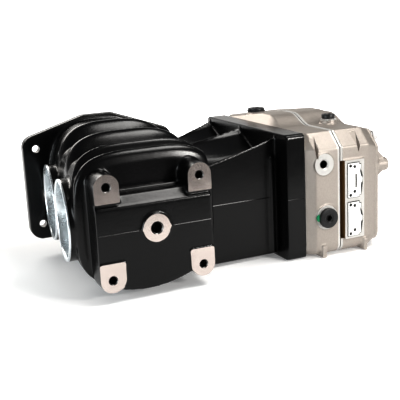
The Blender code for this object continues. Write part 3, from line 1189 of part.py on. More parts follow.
def build():
    for old in list(bpy.data.objects):
        bpy.data.objects.remove(old)

    black = material("black_enamel", (0.012, 0.012, 0.013), 0.0, 0.32)
    cast = material("cast_aluminium", (0.58, 0.55, 0.51), 0.9, 0.5)
    bright = material("machined_aluminium", (0.86, 0.85, 0.83), 1.0, 0.25)
    steel = material("bearing_steel", (0.62, 0.63, 0.65), 1.0, 0.22)
    plug_black = material("black_plug", (0.02, 0.02, 0.021), 0.1, 0.4)
    rubber = material("seal_rubber", (0.03, 0.03, 0.03), 0.0, 0.75)
    copper = material("copper_winding", (0.65, 0.28, 0.12), 0.9, 0.4)
    iron = material("motor_laminations", (0.25, 0.26, 0.28), 0.8, 0.45)
    board_green = material("circuit_board", (0.02, 0.16, 0.06), 0.0, 0.5)

    frame = bpy.data.objects.new("supercharger", None)
    bpy.context.scene.collection.objects.link(frame)
    axes = {name: axis_empty(name + "_axis", y, frame) for name, y in SHAFT_PLACES.items()}

    place(rotor_housing(), black, frame)
    place(inlet_sleeve("near_inlet_sleeve", -1), bright, frame)
    place(inlet_sleeve("far_inlet_sleeve", 1), bright, frame)
    place(bearing_plate(), bright, frame)
    place(gear_case(), cast, frame)
    place(joint_gasket(), rubber, frame)
    place(motor_cover(), cast, frame)
    place(end_lid(), cast, frame)

    place(rotor("drive_rotor", 1), bright, axes["drive"])
    place(rotor("driven_rotor", -1), bright, axes["driven"])
    place(drive_shaft(), steel, axes["drive"])
    place(driven_shaft(), steel, axes["driven"])
    place(timing_gear("drive_timing_gear", 0), steel, axes["drive"])
    place(timing_gear("driven_timing_gear", math.pi / GEAR_TEETH), steel, axes["driven"])
    nut_left = GEAR_LEFT + GEAR_WIDTH + FIT
    motor_right = STATOR_LEFT + STATOR_LENGTH
    hold = MOTOR_SHAFT_RADIUS + FIT
    for name, axis in axes.items():
        place(hex_nut(name + "_gear_nut", nut_left, hold), steel, axis)
        static = axis_empty(name + "_seat", SHAFT_PLACES[name], frame)
        tail_left = CHAMBER_LEFT - TAIL_BEARING_LENGTH - FIT
        tail_ring = plain_ring(
            name + "_tail_bearing", tail_left, CHAMBER_LEFT - FIT, TAIL_RADIUS + FIT, TAIL_BEARING_RADIUS
        )
        place(tail_ring, steel, static)
        bearing_left = FLANGE_THICK - BEARING_WIDTH - FIT
        bearing(
            name + "_bearing", bearing_left, BEARING_WIDTH, SHAFT_RADIUS + FIT, BEARING_RADIUS, static, axis, steel
        )
        seal_left = bearing_left - SEAL_WIDTH - FIT
        place(
            shaft_seal(name + "_shaft_seal", seal_left, SEAL_WIDTH, SHAFT_RADIUS + SEAL_LIP, SEAL_RADIUS),
            rubber,
            static,
        )
    motor_seat = bpy.data.objects["drive_seat"]
    motor_axis = axes["drive"]
    wall_left = CASE_RIGHT - CASE_WALL
    place(
        shaft_seal("motor_shaft_seal", wall_left + 1 * MM, CASE_WALL - 2 * MM, hold - FIT + SEAL_LIP, SEAL_RADIUS),
        rubber,
        motor_seat,
    )
    place(stator(), iron, motor_seat)
    place(winding("front_winding", STATOR_LEFT - FIT - WINDING_REACH, STATOR_LEFT - FIT), copper, motor_seat)
    place(winding("rear_winding", motor_right + FIT, motor_right + FIT + WINDING_REACH), copper, motor_seat)
    motor_rotor = turned_ring("motor_rotor", [
        (STATOR_LEFT, hold), (motor_right, hold), (motor_right, STATOR_BORE - AIR_GAP),
        (STATOR_LEFT, STATOR_BORE - AIR_GAP),
    ], 36)
    place(motor_rotor, iron, motor_axis)
    place(hex_nut("motor_rotor_nut", motor_right + FIT, NOSE_RADIUS + FIT), steel, motor_axis)
    nose_left = LID_LEFT - NOSE_BEARING_WIDTH - 1 * MM - FIT
    bearing(
        "nose_bearing", nose_left, NOSE_BEARING_WIDTH, NOSE_RADIUS + FIT, NOSE_BEARING_RADIUS,
        motor_seat, motor_axis, steel,
    )
    place(control_board(), board_green, frame)

    seat_y = CASE_NEAR - SEAT_PROUD
    drain = socket_plug(
        "drain_plug", "Y", PLUG_X, PLUG_Z, seat_y, -1, PLUG_RADIUS, PLUG_COLLAR_RADIUS, PLUG_COLLAR, PLUG_THREAD
    )
    place(drain, plug_black, frame)
    ring = flat_washer(
        "drain_plug_washer", "Y", PLUG_X, PLUG_Z, seat_y, -1, PLUG_RADIUS + FIT, PLUG_COLLAR_RADIUS + 0.8 * MM
    )
    place(ring, bright, frame)
    seat_z = top_height(BREATHER_Y) + BREATHER_SEAT
    breather = socket_plug(
        "breather_plug", "Z", BREATHER_X, BREATHER_Y, seat_z, 1, BREATHER_RADIUS, BREATHER_COLLAR_RADIUS,
        5.5 * MM, 10 * MM,
    )
    place(breather, plug_black, frame)
    breather_ring = flat_washer(
        "breather_washer", "Z", BREATHER_X, BREATHER_Y, seat_z, 1, BREATHER_RADIUS + FIT,
        BREATHER_COLLAR_RADIUS + 1 * MM,
    )
    place(breather_ring, bright, frame)
    cap_seat = top_height(CAP_Y) + CAP_BOSS_HEIGHT
    oil_cap = socket_plug(
        "oil_cap", "Z", CAP_X, CAP_Y, cap_seat, 1, CAP_RADIUS - 2 * MM - FIT, CAP_RADIUS, 3 * MM, 12 * MM
    )
    place(oil_cap, plug_black, frame)
    cap_ring = flat_washer(
        "oil_cap_washer", "Z", CAP_X, CAP_Y, cap_seat, 1, CAP_RADIUS - 2 * MM, CAP_RADIUS + 1 * MM
    )
    place(cap_ring, rubber, frame)

    half = (CONNECTOR_HIGH - CONNECTOR_LOW) / 2
    middle = (CONNECTOR_HIGH + CONNECTOR_LOW) / 2
    margin = CONNECTOR_PLATE_GAP / 2
    place(connector_plate("upper_connector_plate", middle + margin, middle + half - 4 * MM), bright, frame)
    place(connector_plate("lower_connector_plate", middle - half + 4 * MM, middle - margin), bright, frame)

    for number, (y, z) in enumerate(CASE_BOLTS, 1):
        bolt = cap_screw(
            f"case_bolt_{number}", y, z, LID_RIGHT, FLANGE_THICK - CASE_BOLT_GRIP,
            CASE_BOLT_RADIUS, CASE_BOLT_HEAD_RADIUS, CASE_BOLT_HEAD,
        )
        place(bolt, steel, frame)
    head_seat = FLANGE_THICK - PLATE_SCREW_HEAD - 2 * FIT
    for number, (y, z) in enumerate(plate_screws(), 1):
        screw = cap_screw(
            f"plate_screw_{number}", y, z, head_seat, PLATE_LEFT - PLATE_SCREW_GRIP,
            PLATE_SCREW_RADIUS, PLATE_SCREW_HEAD_RADIUS, PLATE_SCREW_HEAD,
        )
        place(screw, steel, frame)
    for number, (y, z) in enumerate(DOWELS, 1):
        pin = turned(f"dowel_pin_{number}", [
            (FLANGE_THICK - DOWEL_LENGTH / 2, DOWEL_RADIUS * 0.8),
            (FLANGE_THICK - DOWEL_LENGTH / 2 + 1 * MM, DOWEL_RADIUS),
            (FLANGE_THICK + DOWEL_LENGTH / 2 - 1 * MM, DOWEL_RADIUS),
            (FLANGE_THICK + DOWEL_LENGTH / 2, DOWEL_RADIUS * 0.8),
        ], SMALL)
        pin.location = (0, y, z)
        place(pin, steel, frame)
    set_down(frame)


build()
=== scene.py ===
import json
import math
import bmesh
import bpy
from mathutils import Matrix, Vector


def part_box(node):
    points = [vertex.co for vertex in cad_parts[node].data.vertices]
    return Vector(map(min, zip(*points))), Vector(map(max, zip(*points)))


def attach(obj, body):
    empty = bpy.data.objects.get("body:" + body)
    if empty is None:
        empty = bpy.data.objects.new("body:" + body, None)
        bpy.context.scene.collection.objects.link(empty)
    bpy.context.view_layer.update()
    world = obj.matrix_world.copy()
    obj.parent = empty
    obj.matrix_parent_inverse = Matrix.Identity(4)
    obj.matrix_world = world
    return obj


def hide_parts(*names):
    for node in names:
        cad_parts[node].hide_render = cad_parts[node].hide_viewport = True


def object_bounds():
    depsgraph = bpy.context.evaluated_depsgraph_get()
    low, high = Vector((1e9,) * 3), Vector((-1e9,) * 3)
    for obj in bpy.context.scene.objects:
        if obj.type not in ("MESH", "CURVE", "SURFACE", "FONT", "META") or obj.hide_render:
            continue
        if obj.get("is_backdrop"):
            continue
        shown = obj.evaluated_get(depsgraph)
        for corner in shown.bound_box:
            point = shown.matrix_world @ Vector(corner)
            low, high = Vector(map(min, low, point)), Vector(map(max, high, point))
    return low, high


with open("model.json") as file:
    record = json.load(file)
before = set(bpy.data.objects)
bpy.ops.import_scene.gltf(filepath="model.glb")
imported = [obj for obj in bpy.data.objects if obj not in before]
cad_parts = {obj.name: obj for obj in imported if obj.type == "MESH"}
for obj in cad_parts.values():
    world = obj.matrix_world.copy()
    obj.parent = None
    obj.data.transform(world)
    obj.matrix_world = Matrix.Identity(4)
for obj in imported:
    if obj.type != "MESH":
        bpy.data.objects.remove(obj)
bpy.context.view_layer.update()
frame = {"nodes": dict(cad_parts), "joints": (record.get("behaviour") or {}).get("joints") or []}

# ---------------------------------------------------------------- camera and studio
# The unit stands on a pale sheet before a white backdrop, lit by softboxes above, behind, at its inlets and
# in front. This section is in metres; the pieces are drawn in millimetres from the near lower corner of the
# drive flange.
corner = Vector((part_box("bearing_plate")[0].x - 0.006, frame["joints"][0]["pos_m"][1] - 0.082, 0))
lens = bpy.data.cameras.new("bench_camera")
lens.lens = 70.5
lens.sensor_width = 36
lens.clip_start = 0.05
lens.clip_end = 60
camera = bpy.data.objects.new("bench_camera", lens)
bpy.context.scene.collection.objects.link(camera)
yaw, pitch, roll = (math.radians(a) for a in (23.5116, 13.8128, -2.9404))
ahead = Vector((math.sin(yaw) * math.cos(pitch), math.cos(yaw) * math.cos(pitch), -math.sin(pitch)))
level_right = Vector((math.cos(yaw), -math.sin(yaw), 0))
level_up = level_right.cross(ahead)
right = math.cos(roll) * level_right + math.sin(roll) * level_up
up = math.cos(roll) * level_up - math.sin(roll) * level_right
turn = Matrix((right, up, -ahead)).transposed().to_4x4()
camera.matrix_world = Matrix.Translation(corner + Vector((-0.48916, -0.84391, 0.32645))) @ turn
bpy.context.scene.camera = camera
bpy.context.scene.view_settings.view_transform = "Standard"
bpy.context.scene.view_settings.gamma = 0.72
bpy.context.scene.view_settings.exposure = 0.4


def softbox(name, place, aim, tint, size, power):
    lamp = bpy.data.lights.new(name, "AREA")
    lamp.shape = "RECTANGLE"
    lamp.size, lamp.size_y = size
    lamp.energy = power
    lamp.color = tint
    made = bpy.data.objects.new(name, lamp)
    bpy.context.scene.collection.objects.link(made)
    facing = (Vector(aim) - Vector(place)).to_track_quat("-Z", "Y")
    made.matrix_world = Matrix.Translation(Vector(place)) @ facing.to_matrix().to_4x4()


softbox("overhead_softbox", (0.4, -0.35, 1.15), (0, 0, 0.1), (1.0, 0.985, 0.96), size=(0.6, 0.4), power=8)
softbox("rear_softbox", (-0.5, 1.2, 0.95), (-0.15, 0, 0.15), (1.0, 0.97, 0.93), size=(1.2, 0.5), power=12)
softbox("white_backdrop", (0.6, 2.6, 0.62), (0, 0, 0.3), (1.0, 0.98, 0.95), size=(5.0, 1.2), power=15)
softbox("inlet_softbox", (-1.3, -0.35, 0.35), (-0.2, 0, 0.1), (0.92, 0.97, 1.0), size=(0.8, 0.6), power=8)
softbox("front_softbox", (0.62, -1.2, 0.5), (0.08, 0, 0.08), (1.0, 0.98, 0.95), size=(0.26, 0.16), power=9)

room = bpy.data.worlds.new("white_room")
room.use_nodes = True
bpy.context.scene.world = room


def node(tree, kind, sockets=None, **settings):
    """One shader node: a socket is linked to another node's output, or set where the value is a number."""
    made = tree.nodes.new(kind)
    for name, value in settings.items():
        setattr(made, name, value)
    for name, value in (sockets or {}).items():
        if isinstance(value, bpy.types.NodeSocket):
            tree.links.new(value, made.inputs[name])
        else:
            made.inputs[name].default_value = value
    return made


sky = room.node_tree
sky.nodes.clear()
seen = node(sky, "ShaderNodeBackground", {"Color": (1, 1, 1, 1), "Strength": 1.0})
lit = node(sky, "ShaderNodeBackground", {"Color": (0.96, 0.98, 1, 1), "Strength": 0.12})
which = node(sky, "ShaderNodeLightPath")
both = node(sky, "ShaderNodeMixShader", {
    0: which.outputs["Is Camera Ray"], 1: lit.outputs[0], 2: seen.outputs[0],
})
node(sky, "ShaderNodeOutputWorld", {"Surface": both.outputs[0]})


def blank(name):
    """An empty material: its node tree and its Principled shader, joined to the output."""
    made = bpy.data.materials.new(name)
    made.use_nodes = True
    made.node_tree.nodes.clear()
    shader = made.node_tree.nodes.new("ShaderNodeBsdfPrincipled")
    ending = made.node_tree.nodes.new("ShaderNodeOutputMaterial")
    made.node_tree.links.new(shader.outputs[0], ending.inputs["Surface"])
    return made, made.node_tree, shader


def blend(tree, share, first, second):
    """A colour between two others, each given as three numbers or as another node's output."""
    made = node(tree, "ShaderNodeMix", {0: share}, data_type="RGBA")
    for slot, value in ((6, first), (7, second)):
        if isinstance(value, bpy.types.NodeSocket):
            tree.links.new(value, made.inputs[slot])
        else:
            made.inputs[slot].default_value = (*value, 1)
    return made.outputs[2]


def object_of(name, shape):
    """Turn a built shape into an object of the scene."""
    mesh = bpy.data.meshes.new(name)
    shape.to_mesh(mesh)
    shape.free()
    made = bpy.data.objects.new(name, mesh)
    bpy.context.scene.collection.objects.link(made)
    return made


pale, tree, shader = blank("pale_sweep")
place = node(tree, "ShaderNodeTexCoord").outputs["Object"]
cloud = node(tree, "ShaderNodeTexNoise", {"Vector": place, "Scale": 3.0, "Detail": 3.0}).outputs["Fac"]
tree.links.new(blend(tree, cloud, (0.88, 0.88, 0.88), (0.92, 0.92, 0.92)), shader.inputs["Base Color"])
shader.inputs["Roughness"].default_value = 0.8
shader.inputs["Specular IOR Level"].default_value = 0.1

# the sheet glows more with distance, so that it runs into the white room
away = node(tree, "ShaderNodeVectorMath", {0: place}, operation="LENGTH").outputs["Value"]
glow = node(tree, "ShaderNodeMapRange", {
    "Value": away, "From Min": 0.3, "From Max": 1.3, "To Min": 0.16, "To Max": 1.0,
}).outputs[0]
tree.links.new(blend(tree, glow, (0, 0, 0), (1, 1, 1)), shader.inputs["Emission Color"])
shader.inputs["Emission Strength"].default_value = 1.0

shape = bmesh.new()
bmesh.ops.create_grid(shape, x_segments=8, y_segments=8, size=7)
front_edge = -0.5
for vert in shape.verts:
    vert.co.y = max(vert.co.y, front_edge)
floor = object_of("floor_sweep", shape)
floor.location = (0, 0, -0.0004)
floor.data.materials.append(pale)
floor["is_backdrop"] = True

# ---------------------------------------------------------------- rotor housing
# One aluminium sand casting: rotor chamber, two inlets, ribbed plenum drum, pad and both flanges. It is
# painted with satin black enamel, then its ears, boss, flange faces and mouths are milled or turned bare.


def group(name, numbers, outputs):
    """A shader node group with number inputs (name, value) and number outputs (name)."""
    made = bpy.data.node_groups.new(name, "ShaderNodeTree")
    for label, value in numbers:
        socket = made.interface.new_socket(label, in_out="INPUT", socket_type="NodeSocketFloat")
        socket.default_value = value
    for label in outputs:
        made.interface.new_socket(label, in_out="OUTPUT", socket_type="NodeSocketFloat")
    return made, made.nodes.new("NodeGroupInput"), made.nodes.new("NodeGroupOutput")


def math_node(tree, operation, first, second):
    return node(tree, "ShaderNodeMath", {0: first, 1: second}, operation=operation).outputs[0]


# sand-cast skin: fine grains, broad waves and a slow change of tone
cast_skin, given, put = group("cast_skin", [("Grain", 700.0), ("Flow", 90.0)], ["Height", "Tone", "Speckle"])
place = node(cast_skin, "ShaderNodeTexCoord").outputs["Object"]
grain = node(cast_skin, "ShaderNodeTexNoise", {
    "Vector": place, "Scale": given.outputs["Grain"], "Detail": 3.0, "Roughness": 0.6,
})
flow = node(cast_skin, "ShaderNodeTexNoise", {"Vector": place, "Scale": given.outputs["Flow"], "Detail": 2.0})
slow = node(cast_skin, "ShaderNodeTexNoise", {
    "Vector": place, "Scale": 14.0, "Detail": 4.0, "Roughness": 0.65,
})
speck = node(cast_skin, "ShaderNodeTexVoronoi", {"Vector": place, "Scale": given.outputs["Grain"]})
deep = math_node(cast_skin, "MULTIPLY", flow.outputs["Fac"], 0.8)
high = math_node(cast_skin, "ADD", grain.outputs["Fac"], deep)
cast_skin.links.new(high, put.inputs["Height"])
cast_skin.links.new(slow.outputs["Fac"], put.inputs["Tone"])
cast_skin.links.new(speck.outputs["Distance"], put.inputs["Speckle"])

# handled edges: outward corners lightened, partly as worn skin and partly as a painted edge highlight
worn_edge_and_highlight, given, put = group("worn_edge_and_highlight", [("Start", 0.53), ("End", 0.62)], ["Mask"])
bend = node(worn_edge_and_highlight, "ShaderNodeNewGeometry").outputs["Pointiness"]
ramp = node(worn_edge_and_highlight, "ShaderNodeMapRange", {
    "Value": bend, "From Min": given.outputs["Start"], "From Max": given.outputs["End"],
})
place = node(worn_edge_and_highlight, "ShaderNodeTexCoord").outputs["Object"]
patch = node(worn_edge_and_highlight, "ShaderNodeTexNoise", {"Vector": place, "Scale": 130.0, "Detail": 3.0})
worn_and_lit = math_node(worn_edge_and_highlight, "MULTIPLY", ramp.outputs[0], patch.outputs["Fac"])
worn_edge_and_highlight.links.new(worn_and_lit, put.inputs["Mask"])

# cutter marks: fine parallel passes with a little smear across them
cutter_marks, given, put = group("cutter_marks", [("Pitch", 900.0), ("Turn", 0.0)], ["Height", "Tone"])
place = node(cutter_marks, "ShaderNodeTexCoord").outputs["Object"]
spin = node(cutter_marks, "ShaderNodeCombineXYZ", {"X": given.outputs["Turn"], "Y": given.outputs["Turn"]})
laid = node(cutter_marks, "ShaderNodeMapping", {"Vector": place, "Rotation": spin.outputs[0]})
passes = node(cutter_marks, "ShaderNodeTexWave", {
    "Vector": laid.outputs[0], "Scale": given.outputs["Pitch"], "Distortion": 1.2, "Detail": 2.0,
}, bands_direction="DIAGONAL")
smear = node(cutter_marks, "ShaderNodeTexNoise", {
    "Vector": laid.outputs[0], "Scale": 60.0, "Detail": 5.0, "Roughness": 0.7,
})
cutter_marks.links.new(passes.outputs["Fac"], put.inputs["Height"])
cutter_marks.links.new(smear.outputs["Fac"], put.inputs["Tone"])


def use(tree, shared, **numbers):
    return node(tree, "ShaderNodeGroup", numbers, node_tree=shared)


def spread(tree, value, low, high):
    return node(tree, "ShaderNodeMapRange", {"Value": value, "To Min": low, "To Max": high}).outputs[0]


def relief(tree, shader, height, strength, depth):
    bump = node(tree, "ShaderNodeBump", {"Height": height, "Strength": strength, "Distance": depth})
    tree.links.new(bump.outputs[0], shader.inputs["Normal"])


def surface(tree, shader, share, dark, light, smooth, rough):
    """Let one mask steer both the colour and the roughness of a shader."""
    tree.links.new(blend(tree, share, dark, light), shader.inputs["Base Color"])
    tree.links.new(spread(tree, share, smooth, rough), shader.inputs["Roughness"])


def enamel(name, colour, rub_and_highlight, roughness):
    """Sprayed enamel over a casting: orange peel, a slow change of gloss, and outward edges lightened as worn
    paint and as a painted edge highlight.
    """
    made, tree, shader = blank(name)
    skin = use(tree, cast_skin, Grain=330.0, Flow=120.0)
    edge = use(tree, worn_edge_and_highlight, Start=0.54, End=0.70)
    body = blend(tree, skin.outputs["Tone"], colour, tuple(c * 1.7 for c in colour))
    gloss = spread(tree, skin.outputs["Tone"], roughness - 0.05, roughness + 0.07)
    tree.links.new(blend(tree, edge.outputs["Mask"], body, rub_and_highlight), shader.inputs["Base Color"])
    tree.links.new(gloss, shader.inputs["Roughness"])
    relief(tree, shader, skin.outputs["Height"], strength=0.3, depth=0.00022)
    shader.inputs["Specular IOR Level"].default_value = 0.42
    return made


def bare_metal(name, dark, light, roughness, pitch, angle, depth, metallic=1.0):
    """Milled or turned metal: cutter marks and a faint change of tone."""
    made, tree, shader = blank(name)
    marks = use(tree, cutter_marks, Pitch=pitch, Turn=angle)
    surface(tree, shader, marks.outputs["Tone"], dark, light, roughness - 0.05, roughness + 0.08)
    relief(tree, shader, marks.outputs["Height"], strength=0.25, depth=depth)
    shader.inputs["Metallic"].default_value = metallic
    return made


black_enamel = enamel("satin_black_enamel", (0.0022, 0.0022, 0.0024), rub_and_highlight=(0.03, 0.03, 0.03), roughness=0.24)
milled_face = bare_metal(
    "milled_ear_face", (0.60, 0.52, 0.48), (0.78, 0.71, 0.67),
    roughness=0.22, pitch=520.0, angle=0.5, depth=0.00003, metallic=0.95,
)
turned_bore = bare_metal(
    "turned_bore", (0.56, 0.61, 0.63), (0.76, 0.80, 0.81),
    roughness=0.5, pitch=500.0, angle=0.0, depth=0.00001, metallic=0.35,
)
# hole, slit and cavity walls: bare metal painted dark grey, a painted shade standing for the shade inside
# them
hole_wall_shade = bare_metal(
    "hole_wall_shade", (0.10, 0.10, 0.10), (0.22, 0.21, 0.20),
    roughness=0.35, pitch=900.0, angle=0.2, depth=0.00004,
)


def along(axis, u, v, w):
    """A point from two sizes across an axis and one along it."""
    return Vector({"X": (w, u, v), "Y": (u, w, v), "Z": (u, v, w)}[axis])


def solid(name, rings):
    """A closed body through rings of points that have the same count."""
    shape = bmesh.new()
    rows = [[shape.verts.new(point) for point in ring] for ring in rings]
    count = len(rows[0])
    for low, high in zip(rows, rows[1:]):
        for i in range(count):
            j = (i + 1) % count
            shape.faces.new((low[i], low[j], high[j], high[i]))
    shape.faces.new(rows[0][::-1])
    shape.faces.new(rows[-1])
    bmesh.ops.triangulate(shape, faces=[face for face in shape.faces if len(face.verts) > 4])
    bmesh.ops.recalc_face_normals(shape, faces=shape.faces)
    return object_of(name, shape)


def prism(name, outline, axis, start, end):
    return solid(name, [[along(axis, u, v, w) for u, v in outline] for w in (start, end)])


def ring_of(u, v, radius, sides=64, start=0.0, end=math.tau):
    """Points round a circle; an arc that is not the whole circle has both its ends."""
    steps = range(sides) if end - start >= math.tau else range(sides + 1)
    angles = [start + (end - start) * i / sides for i in steps]
    return [(u + radius * math.cos(angle), v + radius * math.sin(angle)) for angle in angles]


def rod(name, axis, u, v, radius, start, end, sides=64):
    return prism(name, ring_of(u, v, radius, sides), axis, start, end)


def turned(name, axis, u, v, stations, sides):
    """A round body about an axis, through stations of (place along it, radius)."""
    return solid(name, [[along(axis, p, q, w) for p, q in ring_of(u, v, r, sides)] for w, r in stations])


def block(name, x0, x1, y0, y1, z0, z1):
    return prism(name, [(x0, y0), (x1, y0), (x1, y1), (x0, y1)], "Z", z0, z1)


def soft_box(u0, u1, v0, v1, radius, steps=8):
    """The outline of a rectangle with rounded corners."""
    quarter = math.pi / 2
    u_low, u_high, v_low, v_high = u0 + radius, u1 - radius, v0 + radius, v1 - radius
    points = []
    for k, (u, v) in enumerate(((u_high, v_high), (u_low, v_high), (u_low, v_low), (u_high, v_low))):
        points += ring_of(u, v, radius, steps, k * quarter, (k + 1) * quarter)
    return points


def settle(piece):
    """Turn a piece's modifiers into its mesh."""
    bpy.context.view_layer.update()
    graph = bpy.context.evaluated_depsgraph_get()
    result = bpy.data.meshes.new_from_object(piece.evaluated_get(graph))
    piece.modifiers.clear()
    piece.data = result


def cast(name, bodies, grain, rounding, skin):
    """Pour the bodies as one casting: fused on a fine grid, with every corner softened as in a sand mould."""
    shape = bmesh.new()
    for body in bodies:
        body.data.transform(body.matrix_world)
        shape.from_mesh(body.data)
        bpy.data.objects.remove(body)
    made = object_of(name, shape)
    fuse = made.modifiers.new("fuse", "REMESH")
    fuse.mode = "VOXEL"
    fuse.voxel_size = grain
    fuse.use_smooth_shade = True
    soften = made.modifiers.new("soften", "SMOOTH")
    soften.factor = 0.5
    soften.iterations = rounding
    settle(made)
    made.data.materials.clear()
    made.data.materials.append(skin)
    return made


def machine(piece, finish, tools, operation="DIFFERENCE"):
    """Cut a piece with its tools one after another; the new faces get the tools' finish."""
    for tool in tools:
        tool.data.materials.clear()
        tool.data.materials.append(finish)
        step = piece.modifiers.new(operation, "BOOLEAN")
        step.operation = operation
        step.object = tool
        step.solver = "MANIFOLD"
        step.material_mode = "TRANSFER"
    settle(piece)
    for tool in tools:
        bpy.data.objects.remove(tool)


def fit(piece, body="housing", crease=32, stands_for=()):
    """Bring a piece from its drawing in millimetres to its place on the unit."""
    piece.data.transform(piece.matrix_world)
    piece.matrix_world = Matrix.Identity(4)
    piece.data.transform(Matrix.Translation(corner) @ Matrix.Scale(0.001, 4))
    piece.data.shade_smooth()
    if crease:
        piece.data.set_sharp_from_angle(angle=math.radians(crease))
    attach(piece, body)
    if stands_for:
        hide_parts(*stands_for)


tilt = math.radians(5.5)
inlet_x, inlet_y, inlet_z = -271.5, 112, 85


def inlet_face(y):
    """Where the slanted inlet face lies at y."""
    return inlet_x + (y - inlet_y) * math.tan(tilt)


def clamp(value):
    return min(max(value, 0), 1)


rib_height = 9


def arch(y):
    """Height of the four ribs that run over the drum."""
    height = 0
    for middle, width in ((16, 17), (42, 18), (92, 32), (150, 34)):
        offset = abs(y - middle) / (width / 2)
        if offset < 1:
            height = max(height, rib_height * math.cos(offset * math.pi / 2))
    return height


def hollow(y):
    """The drum is cut away between its first and last rib, and not beyond them."""
    return clamp((y - 16) / 8) * clamp((150 - y) / 8)


drum_x, drum_z, drum_half_width = -187, 92, 87


def drum_ring(y, grow=0.0, ribs=True, count=144):
    """The drum's outline at y: low and squarish at the pad, taller and rounder towards the outlet."""
    share = clamp((y - 8) / 206.5)
    power = 2 / (3.6 - share)
    above = 90 - 22 * (1 - share) ** 1.8
    below = 92 - 7 * (1 - share) ** 5
    left = min(drum_half_width, -195 - inlet_face(y))
    side_step = 0
    for middle in (15, 34):
        if abs(y - middle) < 7.8:
            side_step = max(side_step, 2.6 * math.cos((y - middle) / 5))
    points = []
    for i in range(count):
        c = math.cos(math.tau * i / count)
        s = math.sin(math.tau * i / count)
        lift = clamp((s - 0.25) / 0.45)
        rib = 0
        if ribs:
            cut = rib_height * (1 - arch(y) / rib_height) * hollow(y) * lift * clamp((c + 0.95) / 0.6)
            rib = arch(y) * lift - cut
        wide = drum_half_width + rib if c > 0 else left + rib * 0.35
        if ribs and c < 0:
            wide += side_step * clamp((0.75 - abs(s)) / 0.3)
        tall = above + rib if s > 0 else below
        points.append(Vector((
            drum_x + math.copysign(abs(c) ** power, c) * (wide + grow), y,
            drum_z + math.copysign(abs(s) ** power, s) * (tall + grow),
        )))
    return points


drum = solid("drum", [drum_ring(8, grow=-4, ribs=False)] + [drum_ring(y) for y in range(10, 222, 2)])

# gussets: three sharp-backed webs from the drum's shoulder up to the flange, with V hollows between them
web_rows = []
for i in range(41):
    share = i / 40
    x = -125 + 128 * share
    row = []
    for j in range(101):
        across = j / 100
        y = 29.4 + (177.2 + 22 * share**2) * across
        saw = abs(2 * ((across * 2) % 1) - 1)
        base = 128 + 15 * math.sin(math.pi * across) ** 0.6
        crest = 131 + 26 * saw**1.2 + 4.5 * max(0, 1 - (1 - saw) * 9)
        row.append(Vector((x, y, base + (crest - base) * share**1.15)))
    web_rows.append(row)
web_foot = 82
webs = solid("webs", [
    row + [Vector((point.x, point.y, web_foot)) for point in reversed(row)] for row in web_rows
])

outlet_left, outlet_right, outlet_corner = -269, -87, 18
outlet = ring_of(outlet_left, 40, outlet_corner, 8, math.pi, 1.5 * math.pi)
outlet += ring_of(outlet_right, 40, outlet_corner, 8, 1.5 * math.pi, math.tau)
outlet += [*ring_of(outlet_right, 145, outlet_corner, 6, 0, math.radians(70)), (-156.2, 189), (-199.8, 189)]
outlet += ring_of(outlet_left, 150, outlet_corner, 6, math.radians(110), math.pi)
boss_x, boss_z, boss_radius = -188.5, 82, 16.5
boss = []
for i in range(64):
    angle = math.tau * i / 64
    reach = 18.8 if i in (0, 32) else boss_radius
    boss.append((boss_x + reach * math.cos(angle), boss_z + boss_radius * math.sin(angle)))
belly = [(-139, 100), (-238, 100)]
for k in range(33):
    x = -238 + 99 * k / 32
    belly.append((x, 10 + (((x + 200) / 38) ** 2 * 5 if x < -200 else ((x + 200) / 61) ** 2 * 14)))
pad = solid("pad", [
    [Vector((x, y, z)) for x, z in ((-260, 42), (-117, 42), (-117, top), (-260, top))]
    for y, top in ((-23.2, 112), (-21.5, 113), (-12, 124), (16, 124))
])
bodies = [
    prism("flange", soft_box(0, 236, 0, 165, 5), "X", 0, 28), block("chamber", -125, 2, 29.4, 206.6, 4, 124),
    drum, webs, prism("outlet", outlet, "Y", 214.5, 229), pad, prism("belly", belly, "Y", -22.9, 16),
    prism("boss", boss, "Y", -27.5, 0),
    block("upright_land", -9, -4, 26.6, 40, 6, 134), block("upright_land", -9, -4, 200, 209.4, 6, 134),
]
ear_x, upper_ear_z, lower_ear_z, ear_radius = (-245.35, -131.65), 137, 27.7, 15
for x in ear_x:
    for z, way, back in ((upper_ear_z, 1, 40), (lower_ear_z, -1, 6)):
        start = 0 if way > 0 else math.pi
        ear = ring_of(x, z, ear_radius, 24, start, start + math.pi)
        ear += [(x - way * ear_radius, z - way * 19), (x + way * ear_radius, z - way * 19)]
        bodies.append(prism("ear", ear, "Y", -26, back))
mouth_radius = 50.8
mouths = []
for side in (-1, 1):
    reach = side * mouth_radius
    mouth = Vector((inlet_x + reach * math.sin(tilt), inlet_y + reach * math.cos(tilt), inlet_z))
    mouths.append(mouth)
    tube = ring_of(mouth.y, inlet_z, 50.5, 72)
    bodies.append(solid("inlet", [
        [Vector((inlet_face(y) - 2, y, z)) for y, z in tube], [Vector((-202, y, z)) for y, z in tube],
    ]))
housing = cast("rotor_housing_casting", bodies, grain=1.5, rounding=5, skin=black_enamel)

# the parting line left by the mould, as a thin raised bead
beads = [
    prism("bead", [(0.6, 80), (-0.8, 81.3), (0.6, 82.6)], "X", 0.6, 25.4),
    prism("bead", [(30, 80), (28.5, 81.3), (30, 82.6)], "X", -118, 1),
]
for x0, x1 in ((-259, -210), (-167, -119)):
    beads.append(prism("bead", [(-22.6, 80.2), (-23.9, 81.3), (-22.6, 82.4)], "X", x0, x1))
machine(housing, black_enamel, beads, "UNION")

milled_joint = bare_metal(
    "milled_joint_face", (0.34, 0.32, 0.30), (0.46, 0.44, 0.41),
    roughness=0.45, pitch=420.0, angle=0.2, depth=0.00004, metallic=0.9,
)
machine(housing, milled_joint, [
    block("flange_face", 26, 40, -20, 260, -20, 200), block("outlet_face", -300, -50, 227, 240, -10, 220),
])


